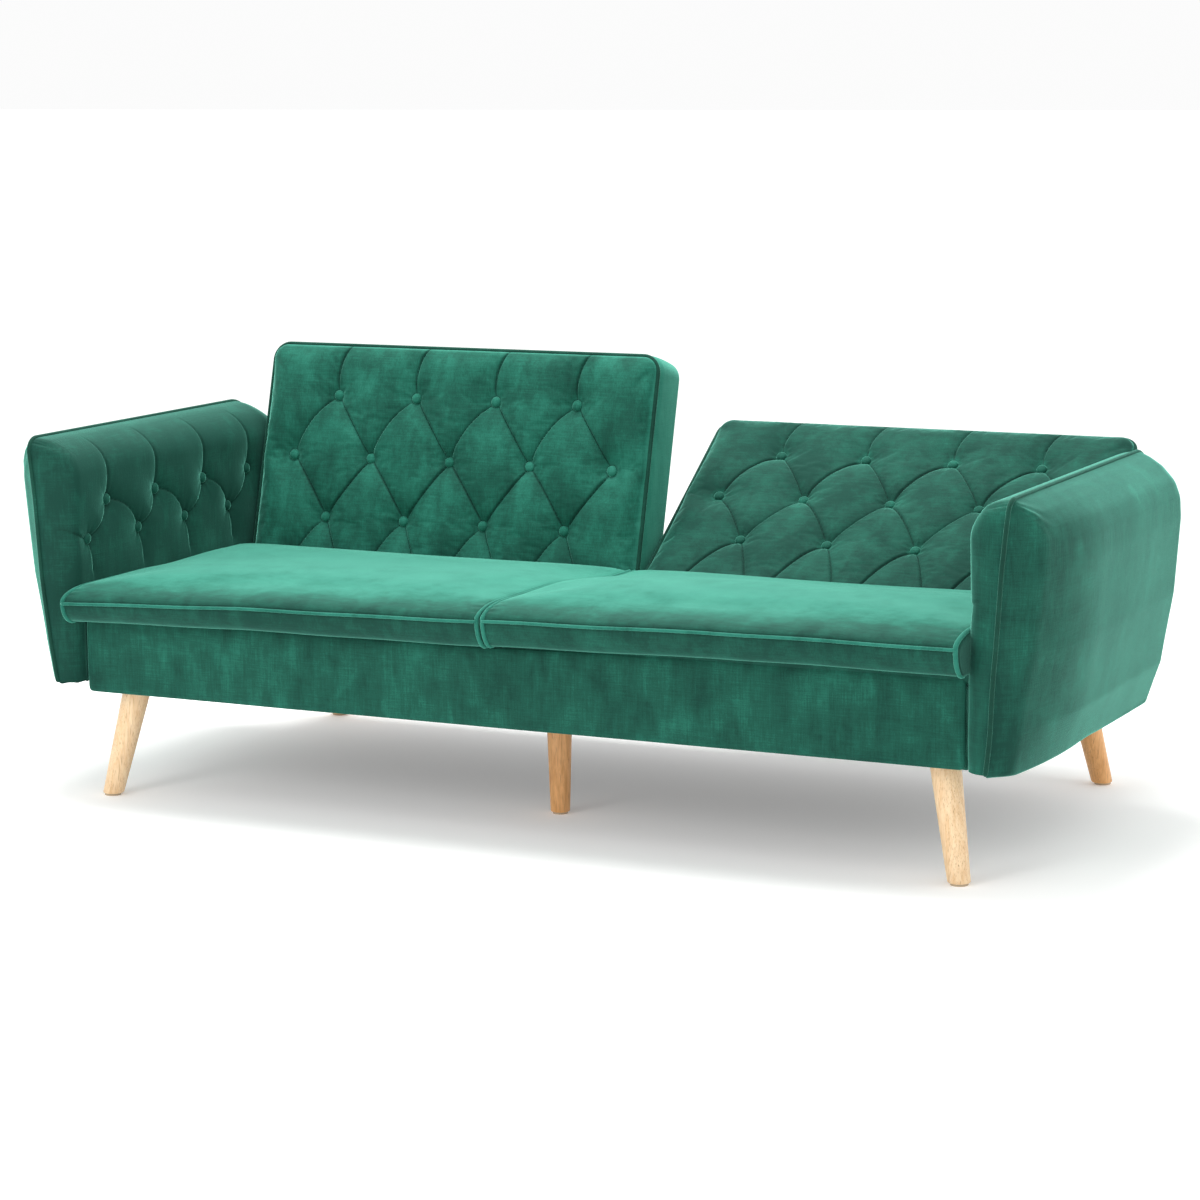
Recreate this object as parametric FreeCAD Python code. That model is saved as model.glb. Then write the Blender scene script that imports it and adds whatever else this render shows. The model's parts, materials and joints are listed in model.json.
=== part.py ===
import FreeCAD, Part
import math
import os
from FreeCAD import Vector

# Futon sofa bed with a split back.  Millimetres, +Z up, the front towards -Y.
# Left is -X and right is +X, as seen by somebody who stands in front of it.
# Depths below are measured backwards from the face of the base; every solid is shifted
# forwards by origin_depth as it is saved, which puts the origin under the footprint's middle.

# ---- driving dimensions: base ----
origin_depth = 487.0          # from the base's face back to the part's origin
base_half = 875.0             # half the base's length over its cloth
base_depth = 890.0            # face of the base to its rear face
base_bottom = 205.0           # floor to the underside
base_top = 345.0              # top of the rails under the seat
low_top = 280.0               # top of the rails behind the seat, under the folded back
low_start = 565.0             # depth at which the rails step down
cover_thick = 12.0            # padding and cloth over the rails
rail_thick = 25.0
dust_thick = 2.0
deck_thick = 3.0              # cloth-faced board that closes the base behind the seat
cover_round = 7.0             # upright edges of the front cover
centre_beam_half = 22.0
spring_rail_rear = 563.0
block_size = 80.0
block_height = 40.0

# ---- seat ----
seat_half = 885.0             # outer end of each seat cushion
seat_gap = 2.0                # from the middle plane to each cushion
seat_front = -70.0            # the lip hangs this far in front of the base
seat_rear = 565.0
seat_rim = 406.0              # rim that carries the piping
seat_crown = 436.0
lip_bottom = 358.0
seat_corners = (18.0, 6.0)    # radii of the front and the rear corners
felt_thick = 4.0
piping_radius = 4.0
piping_bend = 8.0             # tightest corner that the piping is taken round
crown_inset = 90.0            # from the outline to where the crown is full
crown_corner = 2.0            # least corner radius of the crown
spring_wire = 2.0             # radius of the spring wire
spring_half_width = 22.0
spring_runs = 16
spring_places = (120.0, 310.0, 500.0, 690.0)
spring_level = 341.0
clip_size = (16.0, 8.0, 8.0)

# ---- legs ----
leg_foot_radius = 19.5
leg_top_radius = 27.0
centre_foot_radius = 18.0
centre_top_radius = 24.5
glide_height = 4.0
glide_inset = 4.0
splay_x = 40.0                # foot stands this far outside the leg's top
splay_y = 35.0
front_foot = (853.0, 40.0)
rear_foot = (842.0, 880.0)
centre_foot = (0.0, 243.0)
leg_bolt_radius = 4.0
leg_bolt_span = (145.0, 235.0)
leg_spare = 0.25              # a leg's cone runs on by this share before it is cut level

# ---- arms ----
arm_inner = 885.0
arm_split = 900.0             # plane between the tufted pad and the outer shell
arm_front = -28.0
arm_rear = 745.0
arm_bottom = 212.0
arm_top = 676.0
arm_corner = 25.0             # radius of the top front corner
arm_drop = (690.0, 26.0)      # the top slopes down from this depth, by this much
arm_lean = (560.0, 965.0)     # height where the pad starts to roll over, and its outer end
# the pad's inner face from where it starts to curve: half width, height
arm_roll = ((885.0, 596.0), (898.0, 628.0), (922.0, 656.0), (957.0, 673.0))
# height, half width at the front seam, bevel from seam to ridge, half width of the outer side
arm_sections = ((212.0, 919.0, 18.0, 975.0), (290.0, 931.0, 30.0, 1003.0),
                (420.0, 945.0, 44.0, 1024.0), (560.0, 954.0, 50.0, 1034.0),
                (620.0, 960.0, 46.0, 1030.0), (655.0, 964.0, 30.0, 1004.0),
                (676.0, 965.0, 5.0, 974.0))
swell_depth = 250.0           # depth at which the outer side reaches its full width
rear_ridge_depth = 700.0
rear_bevel = 40.0             # half width lost at the rear face
seam_lap = 0.5                # the shell reaches at least this far inside the seam
arm_plank = (875.0, 225.0, 345.0)
arm_post_depth = 40.0
arm_frame_ends = (12.0, 700.0)
arm_frame_gap = 4.0           # from the frame's top to where the pad starts to roll over
arm_button_rows = ((552.0, (91.0, 256.0, 428.0, 593.0)), (485.0, (24.0, 194.0, 358.0, 517.0)))
arm_bolt_places = (120.0, 330.0, 520.0)
bolt_radius = 4.0
bolt_head_radius = 8.0
bolt_head_height = 5.0
bolt_cover = 5.0              # wood left over the end of an arm bolt
button_radius = 10.0
button_height = 8.0
button_dome = 1.6             # radius of a button's domed face, in button radii
button_pocket = 1.0           # clearance round a button

# ---- backs ----
pivot_depth = 640.0
pivot_height = 360.0
recline = {"left": 15.0, "right": 56.0}   # degrees from upright, as the two backs stand
back_inner = 4.0
back_outer = 874.0
back_low = -48.0              # lower edge, measured up the panel from the pivot
back_high = 452.0
back_front = 44.0             # rim that carries the piping, in front of the pivot
back_rear = -52.0
back_crown = 60.0
back_crown_inset = 55.0
back_top_corner = 45.0
back_low_corner = 15.0
panel_thick = 8.0             # rear cover panel
panel_inset = 12.0
frame_front = 10.0
frame_low = -30.0
frame_high = 430.0
frame_rail = 25.0
webbing = (50.0, 3.0)         # strap width and thickness
webbing_count = 5
tuft_rows = ((345.0, 4), (220.0, 5), (97.0, 4))   # height up the panel, buttons in the row
tuft_spacing = 179.0

# ---- click-clack hinges ----
plate_thick = 3.0
plate_gap = 0.5               # between the fixed plate and the swinging arm
plate_top_radius = 16.0
plate_neck = 20.0
plate_foot = 45.0
plate_foot_low = 215.0
plate_neck_top = 289.0        # height where the plate has narrowed to its neck
plate_shoulder = 267.0        # height where the foot starts to narrow
# depth from the pivot and height above the floor
plate_screws_at = ((-30.0, 229.0), (30.0, 229.0), (0.0, 255.0))
plate_screw_length = 18.0
pin_radius = 6.0
pin_play = 0.05
pin_head_radius = 10.0
pin_head = 4.0
pin_washer_radius = 9.0
pin_end_play = 0.5
relief_radius = 12.0          # recess in the back frame over a pin's washer
relief_depth = 6.0
arm_strip_half = 15.0
arm_strip_high = 132.0
arm_strip_room = (2.0, 3.0)   # room in the cushion beside the strip and above it
arm_screws_up = (58.0, 112.0)
arm_screw_length = 20.0
hub_radius = 20.0
ratchet_radius = 34.0
notch_depth = 7.0
notch_half = 5.0
ratchet_ends = (3.0, 102.0)   # degrees round the pivot from straight down the panel
pawl_pivot = (14.0, -56.0)    # depth and height from the hinge pin
pawl_engaged_tip = (0.0, -30.5)
pawl_lift = 23.4              # degrees that the pawl is turned out of its notch
pawl_pin_radius = 3.0
pawl_width = 6.0
pawl_nose = (8.0, 2.0, 1.2)   # length of the nose, half width at its root and at its tip
pawl_eye = 8.0
pawl_side = 0.3
pawl_pin_stub = 1.5           # how far the pin stands out behind the fixed plate
pawl_spring_size = (5.0, 4.0)   # radius and length
screw_radius = 2.5
screw_head_radius = 5.0
screw_head = 2.0
slot_front = 24.0             # room in the cushion for the hinge plates
slot_high = 27.0
slot_side = (-6.0, 12.0)

centre_hinge_face = centre_beam_half
end_hinge_face = base_half - cover_thick - rail_thick
end_rail_inner = end_hinge_face
rail_bottom = base_bottom + dust_thick
rail_front = cover_thick
rail_rear = base_depth - cover_thick
passing = 1.0                 # how far a cutting solid runs past what it cuts
beyond = 2000.0               # further than any part of the sofa
X = Vector(1, 0, 0)
middle = Vector(0, 0, 0)
sides = {"left": -1, "right": 1}


def block(x, y, z):
    return Part.makeBox(x[1] - x[0], y[1] - y[0], z[1] - z[0], Vector(x[0], y[0], z[0]))


def rod(radius, start, end):
    start, end = Vector(*start), Vector(*end)
    return Part.makeCylinder(radius, (end - start).Length, start, end - start)


def side_plate(outline, x0, x1):
    """A flat plate across X from an outline of (depth, height) points."""
    points = [Vector(x0, y, z) for y, z in outline]
    face = Part.Face(Part.makePolygon(points + points[:1]))
    return face.extrude(Vector(x1 - x0, 0, 0))


def group(solids):
    return Part.makeCompound(solids)


def mirrored(shape):
    return shape.mirror(middle, X)


def on_side(shape, side):
    """Solids are drawn on the right; the left ones are their mirror image."""
    return shape if sides[side] > 0 else mirrored(shape)


def save(node, shape):
    moved = shape.copy()
    moved.translate(Vector(0, -origin_depth, 0))
    moved.exportStep(f"parts/{node}.step")


def rounded_outline(u, v, radii, place):
    """A closed outline of straight runs and corner arcs; place(u, v) gives its 3-D points."""
    corners = ((u[0], v[0], radii[0]), (u[1], v[0], radii[0]),
               (u[1], v[1], radii[1]), (u[0], v[1], radii[1]))
    edges, ends = [], []
    for number, (cu, cv, r) in enumerate(corners):
        turn = math.radians(180 + 90 * number)
        mid_u = cu + (r if number in (0, 3) else -r)
        mid_v = cv + (r if number in (0, 1) else -r)
        points = [place(mid_u + r * math.cos(turn + a), mid_v + r * math.sin(turn + a))
                  for a in (0, math.pi / 4, math.pi / 2)]
        ends.append(points)
    for number, points in enumerate(ends):
        edges.append(Part.Arc(*points).toShape())
        edges.append(Part.LineSegment(points[2], ends[(number + 1) % 4][0]).toShape())
    return Part.Wire(edges)


def padded_block(u, v, radii, base, rim, crown, inset, place):
    """A slab with rounded corners and a low crown that starts inside its piped rim."""
    def level(shift, height):
        corner = [max(r - shift, crown_corner) for r in radii]
        return rounded_outline((u[0] + shift, u[1] - shift), (v[0] + shift, v[1] - shift),
                               corner, lambda a, b: place(a, b, height))
    slab = Part.makeLoft([level(0, base), level(0, rim)], True, True)
    bulge = Part.makeLoft([level(2 * piping_radius, rim), level(inset, crown)], True, True)
    return slab.fuse(bulge).removeSplitter()


def piping_ring(u, v, radii, height, place):
    shift = piping_radius
    corner = [max(r - shift, piping_bend) for r in radii]
    path = rounded_outline((u[0] + shift, u[1] - shift), (v[0] + shift, v[1] - shift),
                           corner, lambda a, b: place(a, b, height + shift))
    return swept(path, shift)


def swept(path, radius):
    first = path.OrderedEdges[0]
    start = first.valueAt(first.FirstParameter)
    along = first.tangentAt(first.FirstParameter)
    ring = Part.Wire(Part.makeCircle(radius, start, along))
    return path.makePipeShell([ring], True, False)


def rounded_path(points, radius):
    """Straight runs through the points, with a tangent arc at each bend."""
    share = 0.45              # most of a straight run that one bend may take
    points = [Vector(*p) for p in points]
    edges, start = [], points[0]
    for before, here, after in zip(points, points[1:], points[2:]):
        back, on = (before - here).normalize(), (after - here).normalize()
        half = back.getAngle(on) / 2
        cut = min(radius / math.tan(half), (before - here).Length * share,
                  (after - here).Length * share)
        centre_way = (back + on).normalize()
        reach = cut / math.cos(half)
        arc_radius = cut * math.tan(half)
        a, c = here + back * cut, here + on * cut
        b = here + centre_way * (reach - arc_radius)
        edges += [Part.LineSegment(start, a).toShape(), Part.Arc(a, b, c).toShape()]
        start = c
    edges.append(Part.LineSegment(start, points[-1]).toShape())
    return Part.Wire(edges)


# ---- base frame ----
def stepped_outline(front, rear, low):
    """Side view of a rail that is full height under the seat and low behind it."""
    return [(front, low), (rear, low), (rear, low_top), (low_start, low_top),
            (low_start, base_top), (front, base_top)]


def rails():
    inside = rail_front + rail_thick
    rear_inside = rail_rear - rail_thick
    full = base_half - cover_thick
    front = block((-full, full), (rail_front, inside), (rail_bottom, base_top))
    rear = block((-full, full), (rear_inside, rail_rear), (rail_bottom, low_top))
    end = side_plate(stepped_outline(inside, rear_inside, rail_bottom), end_rail_inner, full)
    beam = side_plate(stepped_outline(inside, rear_inside, rail_bottom),
                      -centre_beam_half, centre_beam_half)
    cross = block((centre_beam_half, end_rail_inner),
                  (spring_rail_rear - rail_thick, spring_rail_rear), (rail_bottom, base_top))
    return front, rear, end, beam, cross


def corner_blocks():
    inside = rail_front + rail_thick
    rear_inside = rail_rear - rail_thick
    x = (end_rail_inner - block_size, end_rail_inner)
    z = (rail_bottom, rail_bottom + block_height)
    pair = [block(x, (inside, inside + block_size), z),
            block(x, (rear_inside - block_size, rear_inside), z)]
    return pair + [mirrored(b) for b in pair]


def covers():
    front = block((-base_half, base_half), (0, cover_thick), (base_bottom, base_top))
    upright = [e for e in front.Edges
               if e.BoundBox.ZLength > base_top - base_bottom - passing
               and e.CenterOfMass.y < passing]
    front = front.makeFillet(cover_round, upright)
    rear = block((-base_half, base_half), (rail_rear, base_depth), (base_bottom, low_top))
    end = side_plate(stepped_outline(cover_thick, rail_rear, base_bottom),
                     base_half - cover_thick, base_half)
    return front, rear, end


def seat_springs():
    """Sinuous springs: straight cross runs joined by half turns, front rail to cross rail."""
    y0 = rail_front + rail_thick + clip_size[1] + spring_wire
    y1 = spring_rail_rear - rail_thick - clip_size[1] - spring_wire
    pitch = (y1 - y0) / (spring_runs - 1)
    turn = pitch / 2
    reach = spring_half_width - turn
    springs = []
    for x in spring_places:
        edges = []
        for run in range(spring_runs):
            y = y0 + pitch * run
            way = 1 if run % 2 == 0 else -1
            start = Vector(x - way * reach, y, spring_level)
            end = Vector(x + way * reach, y, spring_level)
            edges.append(Part.LineSegment(start, end).toShape())
            if run < spring_runs - 1:
                bulge = Vector(x + way * (reach + turn), y + turn, spring_level)
                after = Vector(end.x, y + pitch, spring_level)
                edges.append(Part.Arc(end, bulge, after).toShape())
        springs.append(swept(Part.Wire(edges), spring_wire))
    return springs + [mirrored(s) for s in springs]


def spring_clips():
    width, depth, height = clip_size
    z = (spring_level - height / 2, spring_level + height / 2)
    clips = []
    for x in spring_places:
        span = (x - width / 2, x + width / 2)
        front = rail_front + rail_thick
        rear = spring_rail_rear - rail_thick
        clips += [block(span, (front, front + depth), z), block(span, (rear - depth, rear), z)]
    return clips + [mirrored(c) for c in clips]


def rear_deck():
    """Board over the low part of the base, cut out round the four hinge plates."""
    full = base_half - cover_thick
    deck = block((-full, full), (low_start, rail_rear), (low_top, low_top + deck_thick))
    for face, way in hinge_places:
        y = (pivot_depth - plate_foot, pivot_depth + plate_foot)
        cut_out = block(hinge_span(face, way, 0, plate_thick + screw_head), y,
                        (low_top - passing, low_top + deck_thick + passing))
        deck = deck.cut(cut_out).cut(mirrored(cut_out))
    return deck


# ---- seat ----
def seat_place(x, y, z):
    return Vector(x, y, z)


def seat_cushion():
    x, y = (seat_gap, seat_half), (seat_front, seat_rear)
    low = base_top + felt_thick
    pad = padded_block(x, y, seat_corners, low, seat_rim, seat_crown, crown_inset, seat_place)
    under_lip = block((0, seat_half + passing), (seat_front - passing, 0),
                      (low - passing, lip_bottom))
    return pad.cut(under_lip)


def seat_ring():
    return piping_ring((seat_gap, seat_half), (seat_front, seat_rear), seat_corners,
                       seat_rim, seat_place)


# ---- legs ----
def leg(foot, top, foot_radius, top_radius):
    """A tapered round leg from its foot to the underside, cut level at both ends."""
    foot, top = Vector(foot[0], foot[1], 0), Vector(top[0], top[1], base_bottom)
    axis = top - foot
    grow = (top_radius - foot_radius) * leg_spare
    cone = Part.makeCone(foot_radius - grow, top_radius + grow,
                         axis.Length * (1 + 2 * leg_spare), foot - axis * leg_spare, axis)
    return cone.common(block((-beyond, beyond), (-beyond, beyond), (glide_height, base_bottom)))


def leg_set():
    """Feet and tops of the five legs, by name."""
    places = {}
    for side, sign in sides.items():
        for end, (x, y), way in (("front", front_foot, 1), ("rear", rear_foot, -1)):
            top = (sign * (x - splay_x), y + way * splay_y)
            places[f"{end}_{side}_leg"] = ((sign * x, y), top, leg_foot_radius, leg_top_radius)
    places["centre_leg"] = (centre_foot, centre_foot, centre_foot_radius, centre_top_radius)
    return places


def glide(foot, foot_radius):
    start = Vector(foot[0], foot[1], 0)
    return Part.makeCylinder(foot_radius - glide_inset, glide_height, start)


def leg_bolt(foot, top):
    foot, top = Vector(foot[0], foot[1], 0), Vector(top[0], top[1], base_bottom)
    low, high = (foot + (top - foot) * (level / base_bottom) for level in leg_bolt_span)
    return rod(leg_bolt_radius, low, high)


# ---- arms ----
def arm_envelope():
    """Side outline of an arm: rounded top front corner, and a top that drops at the rear."""
    drop_start, drop = arm_drop
    r = arm_corner
    corner = [(arm_front + r - r * math.cos(math.radians(a)),
               arm_top - r + r * math.sin(math.radians(a))) for a in range(0, 91, 15)]
    outline = [(arm_front, arm_bottom)] + corner
    outline += [(drop_start, arm_top), (arm_rear, arm_top - drop), (arm_rear, arm_bottom)]
    return side_plate(outline, 0, beyond)


def split_x(height):
    """Half width of the seam between pad and shell at a height."""
    lean_start, lean_end = arm_lean
    if height <= lean_start:
        return arm_split
    return arm_split + (lean_end - arm_split) * (height - lean_start) / (arm_top - lean_start)


def arm_pad():
    lean_start, lean_end = arm_lean
    outline = [(arm_inner, arm_bottom), *arm_roll, (lean_end, arm_top),
               (arm_split, lean_start), (arm_split, arm_bottom)]
    points = [Vector(x, arm_front, z) for x, z in outline]
    face = Part.Face(Part.makePolygon(points + points[:1]))
    pad = face.extrude(Vector(0, arm_rear - arm_front, 0)).common(arm_envelope())
    plank = block((arm_plank[0], arm_split), arm_frame_ends, arm_plank[1:])
    pad = pad.cut(plank).cut(arm_piping())
    for button in arm_button_places():
        pad = pad.cut(rod(button_radius + button_pocket, (arm_inner - passing, *button),
                          (arm_inner + button_height / 2, *button)))
    return pad


def arm_shell():
    sections = []
    for height, seam, bevel, outer in arm_sections:
        inner = min(split_x(height), seam - seam_lap)
        points = [(inner, arm_front), (seam, arm_front), (seam + bevel, arm_front + bevel),
                  (outer, swell_depth), (outer, rear_ridge_depth),
                  (outer - rear_bevel, arm_rear), (inner, arm_rear)]
        points = [Vector(x, y, height) for x, y in points]
        sections.append(Part.makePolygon(points + points[:1]))
    shell = Part.makeLoft(sections, True, True).common(arm_envelope()).cut(arm_pad())
    for piece in arm_frame() + [arm_piping()]:
        shell = shell.cut(piece)
    # the cord leaves a hair of the top edge behind, which is dropped
    return max(shell.Solids, key=lambda solid: solid.Volume)


def arm_frame():
    """Plank against the base, two posts and a top rail."""
    face, low, high = arm_plank
    y0, y1 = arm_frame_ends
    outer = arm_split + rail_thick
    top = arm_lean[0] - arm_frame_gap
    plank = block((face, arm_split), arm_frame_ends, (low, high))
    front = block((arm_split, outer), (y0, y0 + arm_post_depth), (low, top))
    rear = block((arm_split, outer), (y1 - arm_post_depth, y1), (low, top))
    rail = block((arm_split, outer), (y0 + arm_post_depth, y1 - arm_post_depth),
                 (top - arm_post_depth, top))
    return [plank, front, rear, rail]


def arm_button_places():
    return [(y, z) for z, depths in arm_button_rows for y in depths]


def button(radius, height, foot, way):
    """A covered button: a disc with a domed face."""
    dome = radius * button_dome
    disc = Part.makeCylinder(radius, height, foot, way)
    ball = Part.makeSphere(dome, foot + way * (height - dome))
    return disc.common(ball)


def arm_buttons():
    way = Vector(-1, 0, 0)
    return [button(button_radius, button_height,
                   Vector(arm_inner + button_height / 2, y, z), way)
            for y, z in arm_button_places()]


def arm_piping():
    r = piping_radius
    front = arm_front - r
    drop_start, drop = arm_drop
    points = [(seam, front, max(height, arm_bottom + r))
              for height, seam, *_ in arm_sections[:5]]
    points += [(arm_sections[-1][1], front, arm_top + r)]
    points += [(arm_lean[1], drop_start, arm_top + r), (arm_lean[1], arm_rear, arm_top - drop + r)]
    return swept(rounded_path(points, arm_corner + r), r)


def arm_bolts():
    """Bolts from the arm's plank through the end cover into the end rail, heads inside."""
    height = (arm_plank[1] + arm_plank[2]) / 2
    bolts = []
    for y in arm_bolt_places:
        shank = rod(bolt_radius, (end_rail_inner, y, height), (arm_split - bolt_cover, y, height))
        head = rod(bolt_head_radius, (end_rail_inner - bolt_head_height, y, height),
                   (end_rail_inner, y, height))
        bolts.append(shank.fuse(head).removeSplitter())
    return bolts


# ---- hinges: s runs from the face that a fixed plate is screwed to, towards the back frame ----
def hinge_span(face, way, s0, s1):
    a, b = face + way * s0, face + way * s1
    return (min(a, b), max(a, b))


hinge_places = ((centre_hinge_face, 1), (end_hinge_face, -1))


def disc_x(face, way, s0, s1, radius, y=0.0, z=0.0):
    x0, x1 = hinge_span(face, way, s0, s1)
    return Part.makeCylinder(radius, x1 - x0, Vector(x0, y, z), X)


def fixed_plate(face, way):
    x0, x1 = hinge_span(face, way, 0, plate_thick)
    foot_low, shoulder, neck_top = (height - pivot_height for height in
                                    (plate_foot_low, plate_shoulder, plate_neck_top))
    half = [(plate_foot, foot_low), (plate_foot, shoulder), (plate_neck, neck_top),
            (plate_top_radius, 0)]
    outline = half + [(-y, z) for y, z in reversed(half)]
    plate = side_plate(outline, x0, x1)
    plate = plate.fuse(disc_x(face, way, 0, plate_thick, plate_top_radius)).removeSplitter()
    holes = [(pin_radius, 0, 0), (pawl_pin_radius, *pawl_pivot)]
    holes += [(screw_radius, y, z) for y, z in plate_screw_places()]
    for hole in holes:
        plate = plate.cut(disc_x(face, way, -passing, plate_thick + passing, *hole))
    return plate


def plate_screw_places():
    return [(y, height - pivot_height) for y, height in plate_screws_at]


def plate_screws(face, way):
    screws = []
    for y, z in plate_screw_places():
        shank = disc_x(face, way, -plate_screw_length, plate_thick, screw_radius, y, z)
        head = disc_x(face, way, plate_thick, plate_thick + screw_head, screw_head_radius, y, z)
        screws.append(shank.fuse(head).removeSplitter())
    return screws


def hinge_pin(face, way):
    arm_far = 2 * plate_thick + plate_gap
    head = disc_x(face, way, -pin_head, 0, pin_head_radius)
    shaft = disc_x(face, way, 0, arm_far + pin_end_play, pin_radius)
    washer = disc_x(face, way, arm_far + pin_end_play, arm_far + pin_head, pin_washer_radius)
    return head.fuse(shaft).fuse(washer).removeSplitter()


def pawl_pin(face, way):
    return disc_x(face, way, -pawl_pin_stub, 2 * plate_thick + plate_gap - pawl_side,
                  pawl_pin_radius, *pawl_pivot)


def hinge_arm(face, way):
    """Swinging strip with a ratchet round the pin; drawn for an upright back, pin at zero."""
    s0 = plate_thick + plate_gap
    s1 = s0 + plate_thick
    x0, x1 = hinge_span(face, way, s0, s1)
    strip = block((x0, x1), (-arm_strip_half, arm_strip_half), (0, arm_strip_high))
    hub = disc_x(face, way, s0, s1, hub_radius)
    start, end = (math.radians(a) for a in ratchet_ends)
    steps, reach = 12, 1.2 * ratchet_radius    # the fan runs past the rim and is cut round
    fan = [(0.0, 0.0)]
    for step in range(steps + 1):
        a = start + (end - start) * step / steps
        fan.append((reach * math.sin(a), -reach * math.cos(a)))
    sector = side_plate(fan, x0, x1).common(disc_x(face, way, s0, s1, ratchet_radius))
    arm = strip.fuse(hub).fuse(sector).removeSplitter()
    arm = arm.cut(disc_x(face, way, s0 - passing, s1 + passing, pin_radius + pin_play))
    for angle in (recline["left"], recline["right"], 90.0):
        notch = block((x0 - passing, x1 + passing), (-notch_half, notch_half),
                      (-ratchet_radius - passing, -ratchet_radius + notch_depth))
        notch.rotate(middle, X, angle)
        arm = arm.cut(notch)
    for z in arm_screws_up:
        arm = arm.cut(disc_x(face, way, s0 - passing, s1 + passing, screw_radius, 0, z))
    return arm


def arm_screws(face, way):
    s0 = plate_thick + plate_gap
    screws = []
    for z in arm_screws_up:
        head = disc_x(face, way, s0 - screw_head, s0, screw_head_radius, 0, z)
        shank = disc_x(face, way, s0, s0 + arm_screw_length, screw_radius, 0, z)
        screws.append(head.fuse(shank).removeSplitter())
    return screws


def pawl(face, way):
    """Locking pawl, drawn in its notch and then turned clear of the ratchet."""
    s0 = plate_thick + pawl_side
    s1 = 2 * plate_thick + plate_gap - pawl_side
    x0, x1 = hinge_span(face, way, s0, s1)
    py, pz = pawl_pivot
    ty, tz = pawl_engaged_tip
    length = math.hypot(ty - py, tz - pz)
    along = ((ty - py) / length, (tz - pz) / length)
    across = (-along[1], along[0])

    def point(forward, sideways):
        return (py + along[0] * forward + across[0] * sideways,
                pz + along[1] * forward + across[1] * sideways)
    nose = pawl_nose
    outline = [point(0, -pawl_width), point(length - nose[0], -nose[1]),
               point(length, -nose[2]), point(length, nose[2]),
               point(length - nose[0], nose[1]), point(0, pawl_width)]
    body = side_plate(outline, x0, x1).fuse(disc_x(face, way, s0, s1, pawl_eye, py, pz))
    body = body.removeSplitter().cut(disc_x(face, way, s0 - passing, s1 + passing,
                                            pawl_pin_radius + pin_play, py, pz))
    body.rotate(Vector(0, py, pz), X, pawl_lift)
    return body


def pawl_spring(face, way):
    """A small torsion spring round the pawl's pin, drawn as its outer sleeve."""
    radius, length = pawl_spring_size
    return disc_x(face, way, -pawl_pin_stub - length, -pawl_pin_stub, radius, *pawl_pivot)


def at_pivot(shape):
    moved = shape.copy()
    moved.translate(Vector(0, pivot_depth, pivot_height))
    return moved


# ---- backs: drawn upright with the pin at zero, so depth is -front and height is up ----
def back_place(x, up, front):
    return Vector(x, -front, up)


def stand_back(shape, side):
    """Mirror a back's solid to its side, tilt it as it stands and move it to the pin."""
    moved = on_side(shape, side).copy()
    moved.rotate(middle, X, -recline[side])
    return at_pivot(moved)


def tuft_places():
    centre = (back_inner + back_outer) / 2
    places = []
    for up, count in tuft_rows:
        for number in range(count):
            places.append((centre + (number - (count - 1) / 2) * tuft_spacing, up))
    return places


def frame_ends():
    """Outer faces of the back frame's two side rails."""
    reach = 2 * plate_thick + plate_gap
    return centre_hinge_face + reach, end_hinge_face - reach


def back_frame():
    x0, x1 = frame_ends()
    y = (-frame_front, -(back_rear + panel_thick))
    frame_rails = [block((x0, x0 + frame_rail), y, (frame_low, frame_high)),
              block((x1 - frame_rail, x1), y, (frame_low, frame_high))]
    inner = (x0 + frame_rail, x1 - frame_rail)
    for low in (frame_low, (frame_low + frame_high - frame_rail) / 2, frame_high - frame_rail):
        frame_rails.append(block(inner, y, (low, low + frame_rail)))
    reach = 2 * plate_thick + plate_gap
    reliefs = [disc_x(face, way, reach, reach + relief_depth, relief_radius)
               for face, way in hinge_places]
    holes = [screw for face, way in hinge_places for screw in arm_screws(face, way)]
    solids = []
    for rail in frame_rails:
        for tool in reliefs + holes:
            if tool.BoundBox.intersect(rail.BoundBox):
                rail = rail.cut(tool)
        solids.append(rail)
    return solids


def back_webbing():
    """Elastic straps between the top and bottom rails, flush in front of the mid rail."""
    width, thick = webbing
    x0, x1 = frame_ends()
    inner0, inner1 = x0 + frame_rail, x1 - frame_rail
    step = (inner1 - inner0) / webbing_count
    y = (-frame_front - thick, -frame_front)
    straps = []
    for number in range(webbing_count):
        centre = inner0 + step * (number + 0.5)
        straps.append(block((centre - width / 2, centre + width / 2), y,
                            (frame_low, frame_high)))
    return straps


def back_cushion():
    x, up = (back_inner, back_outer), (back_low, back_high)
    pad = padded_block(x, up, (back_low_corner, back_top_corner), back_rear, back_front,
                       back_crown, back_crown_inset, back_place)
    x0, x1 = frame_ends()
    width, thick = webbing
    pocket = block((x0, x1), (-frame_front - thick, -(back_rear + panel_thick)),
                   (frame_low, frame_high))
    pad = pad.cut(pocket).cut(rear_panel())
    for face, way in hinge_places:
        slot = block(hinge_span(face, way, *slot_side), (-slot_front, -back_rear + passing),
                     (back_low - passing, slot_high))
        half, above = arm_strip_half + arm_strip_room[0], arm_strip_high + arm_strip_room[1]
        strip = block(hinge_span(face, way, pin_end_play, 2 * plate_thick + plate_gap),
                      (-half, half), (0, above))
        pad = pad.cut(slot).cut(strip)
    for bx, bz in tuft_places():
        pad = pad.cut(rod(button_radius + button_pocket, (bx, -back_front, bz),
                          (bx, -back_crown - passing, bz)))
    return pad


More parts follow.
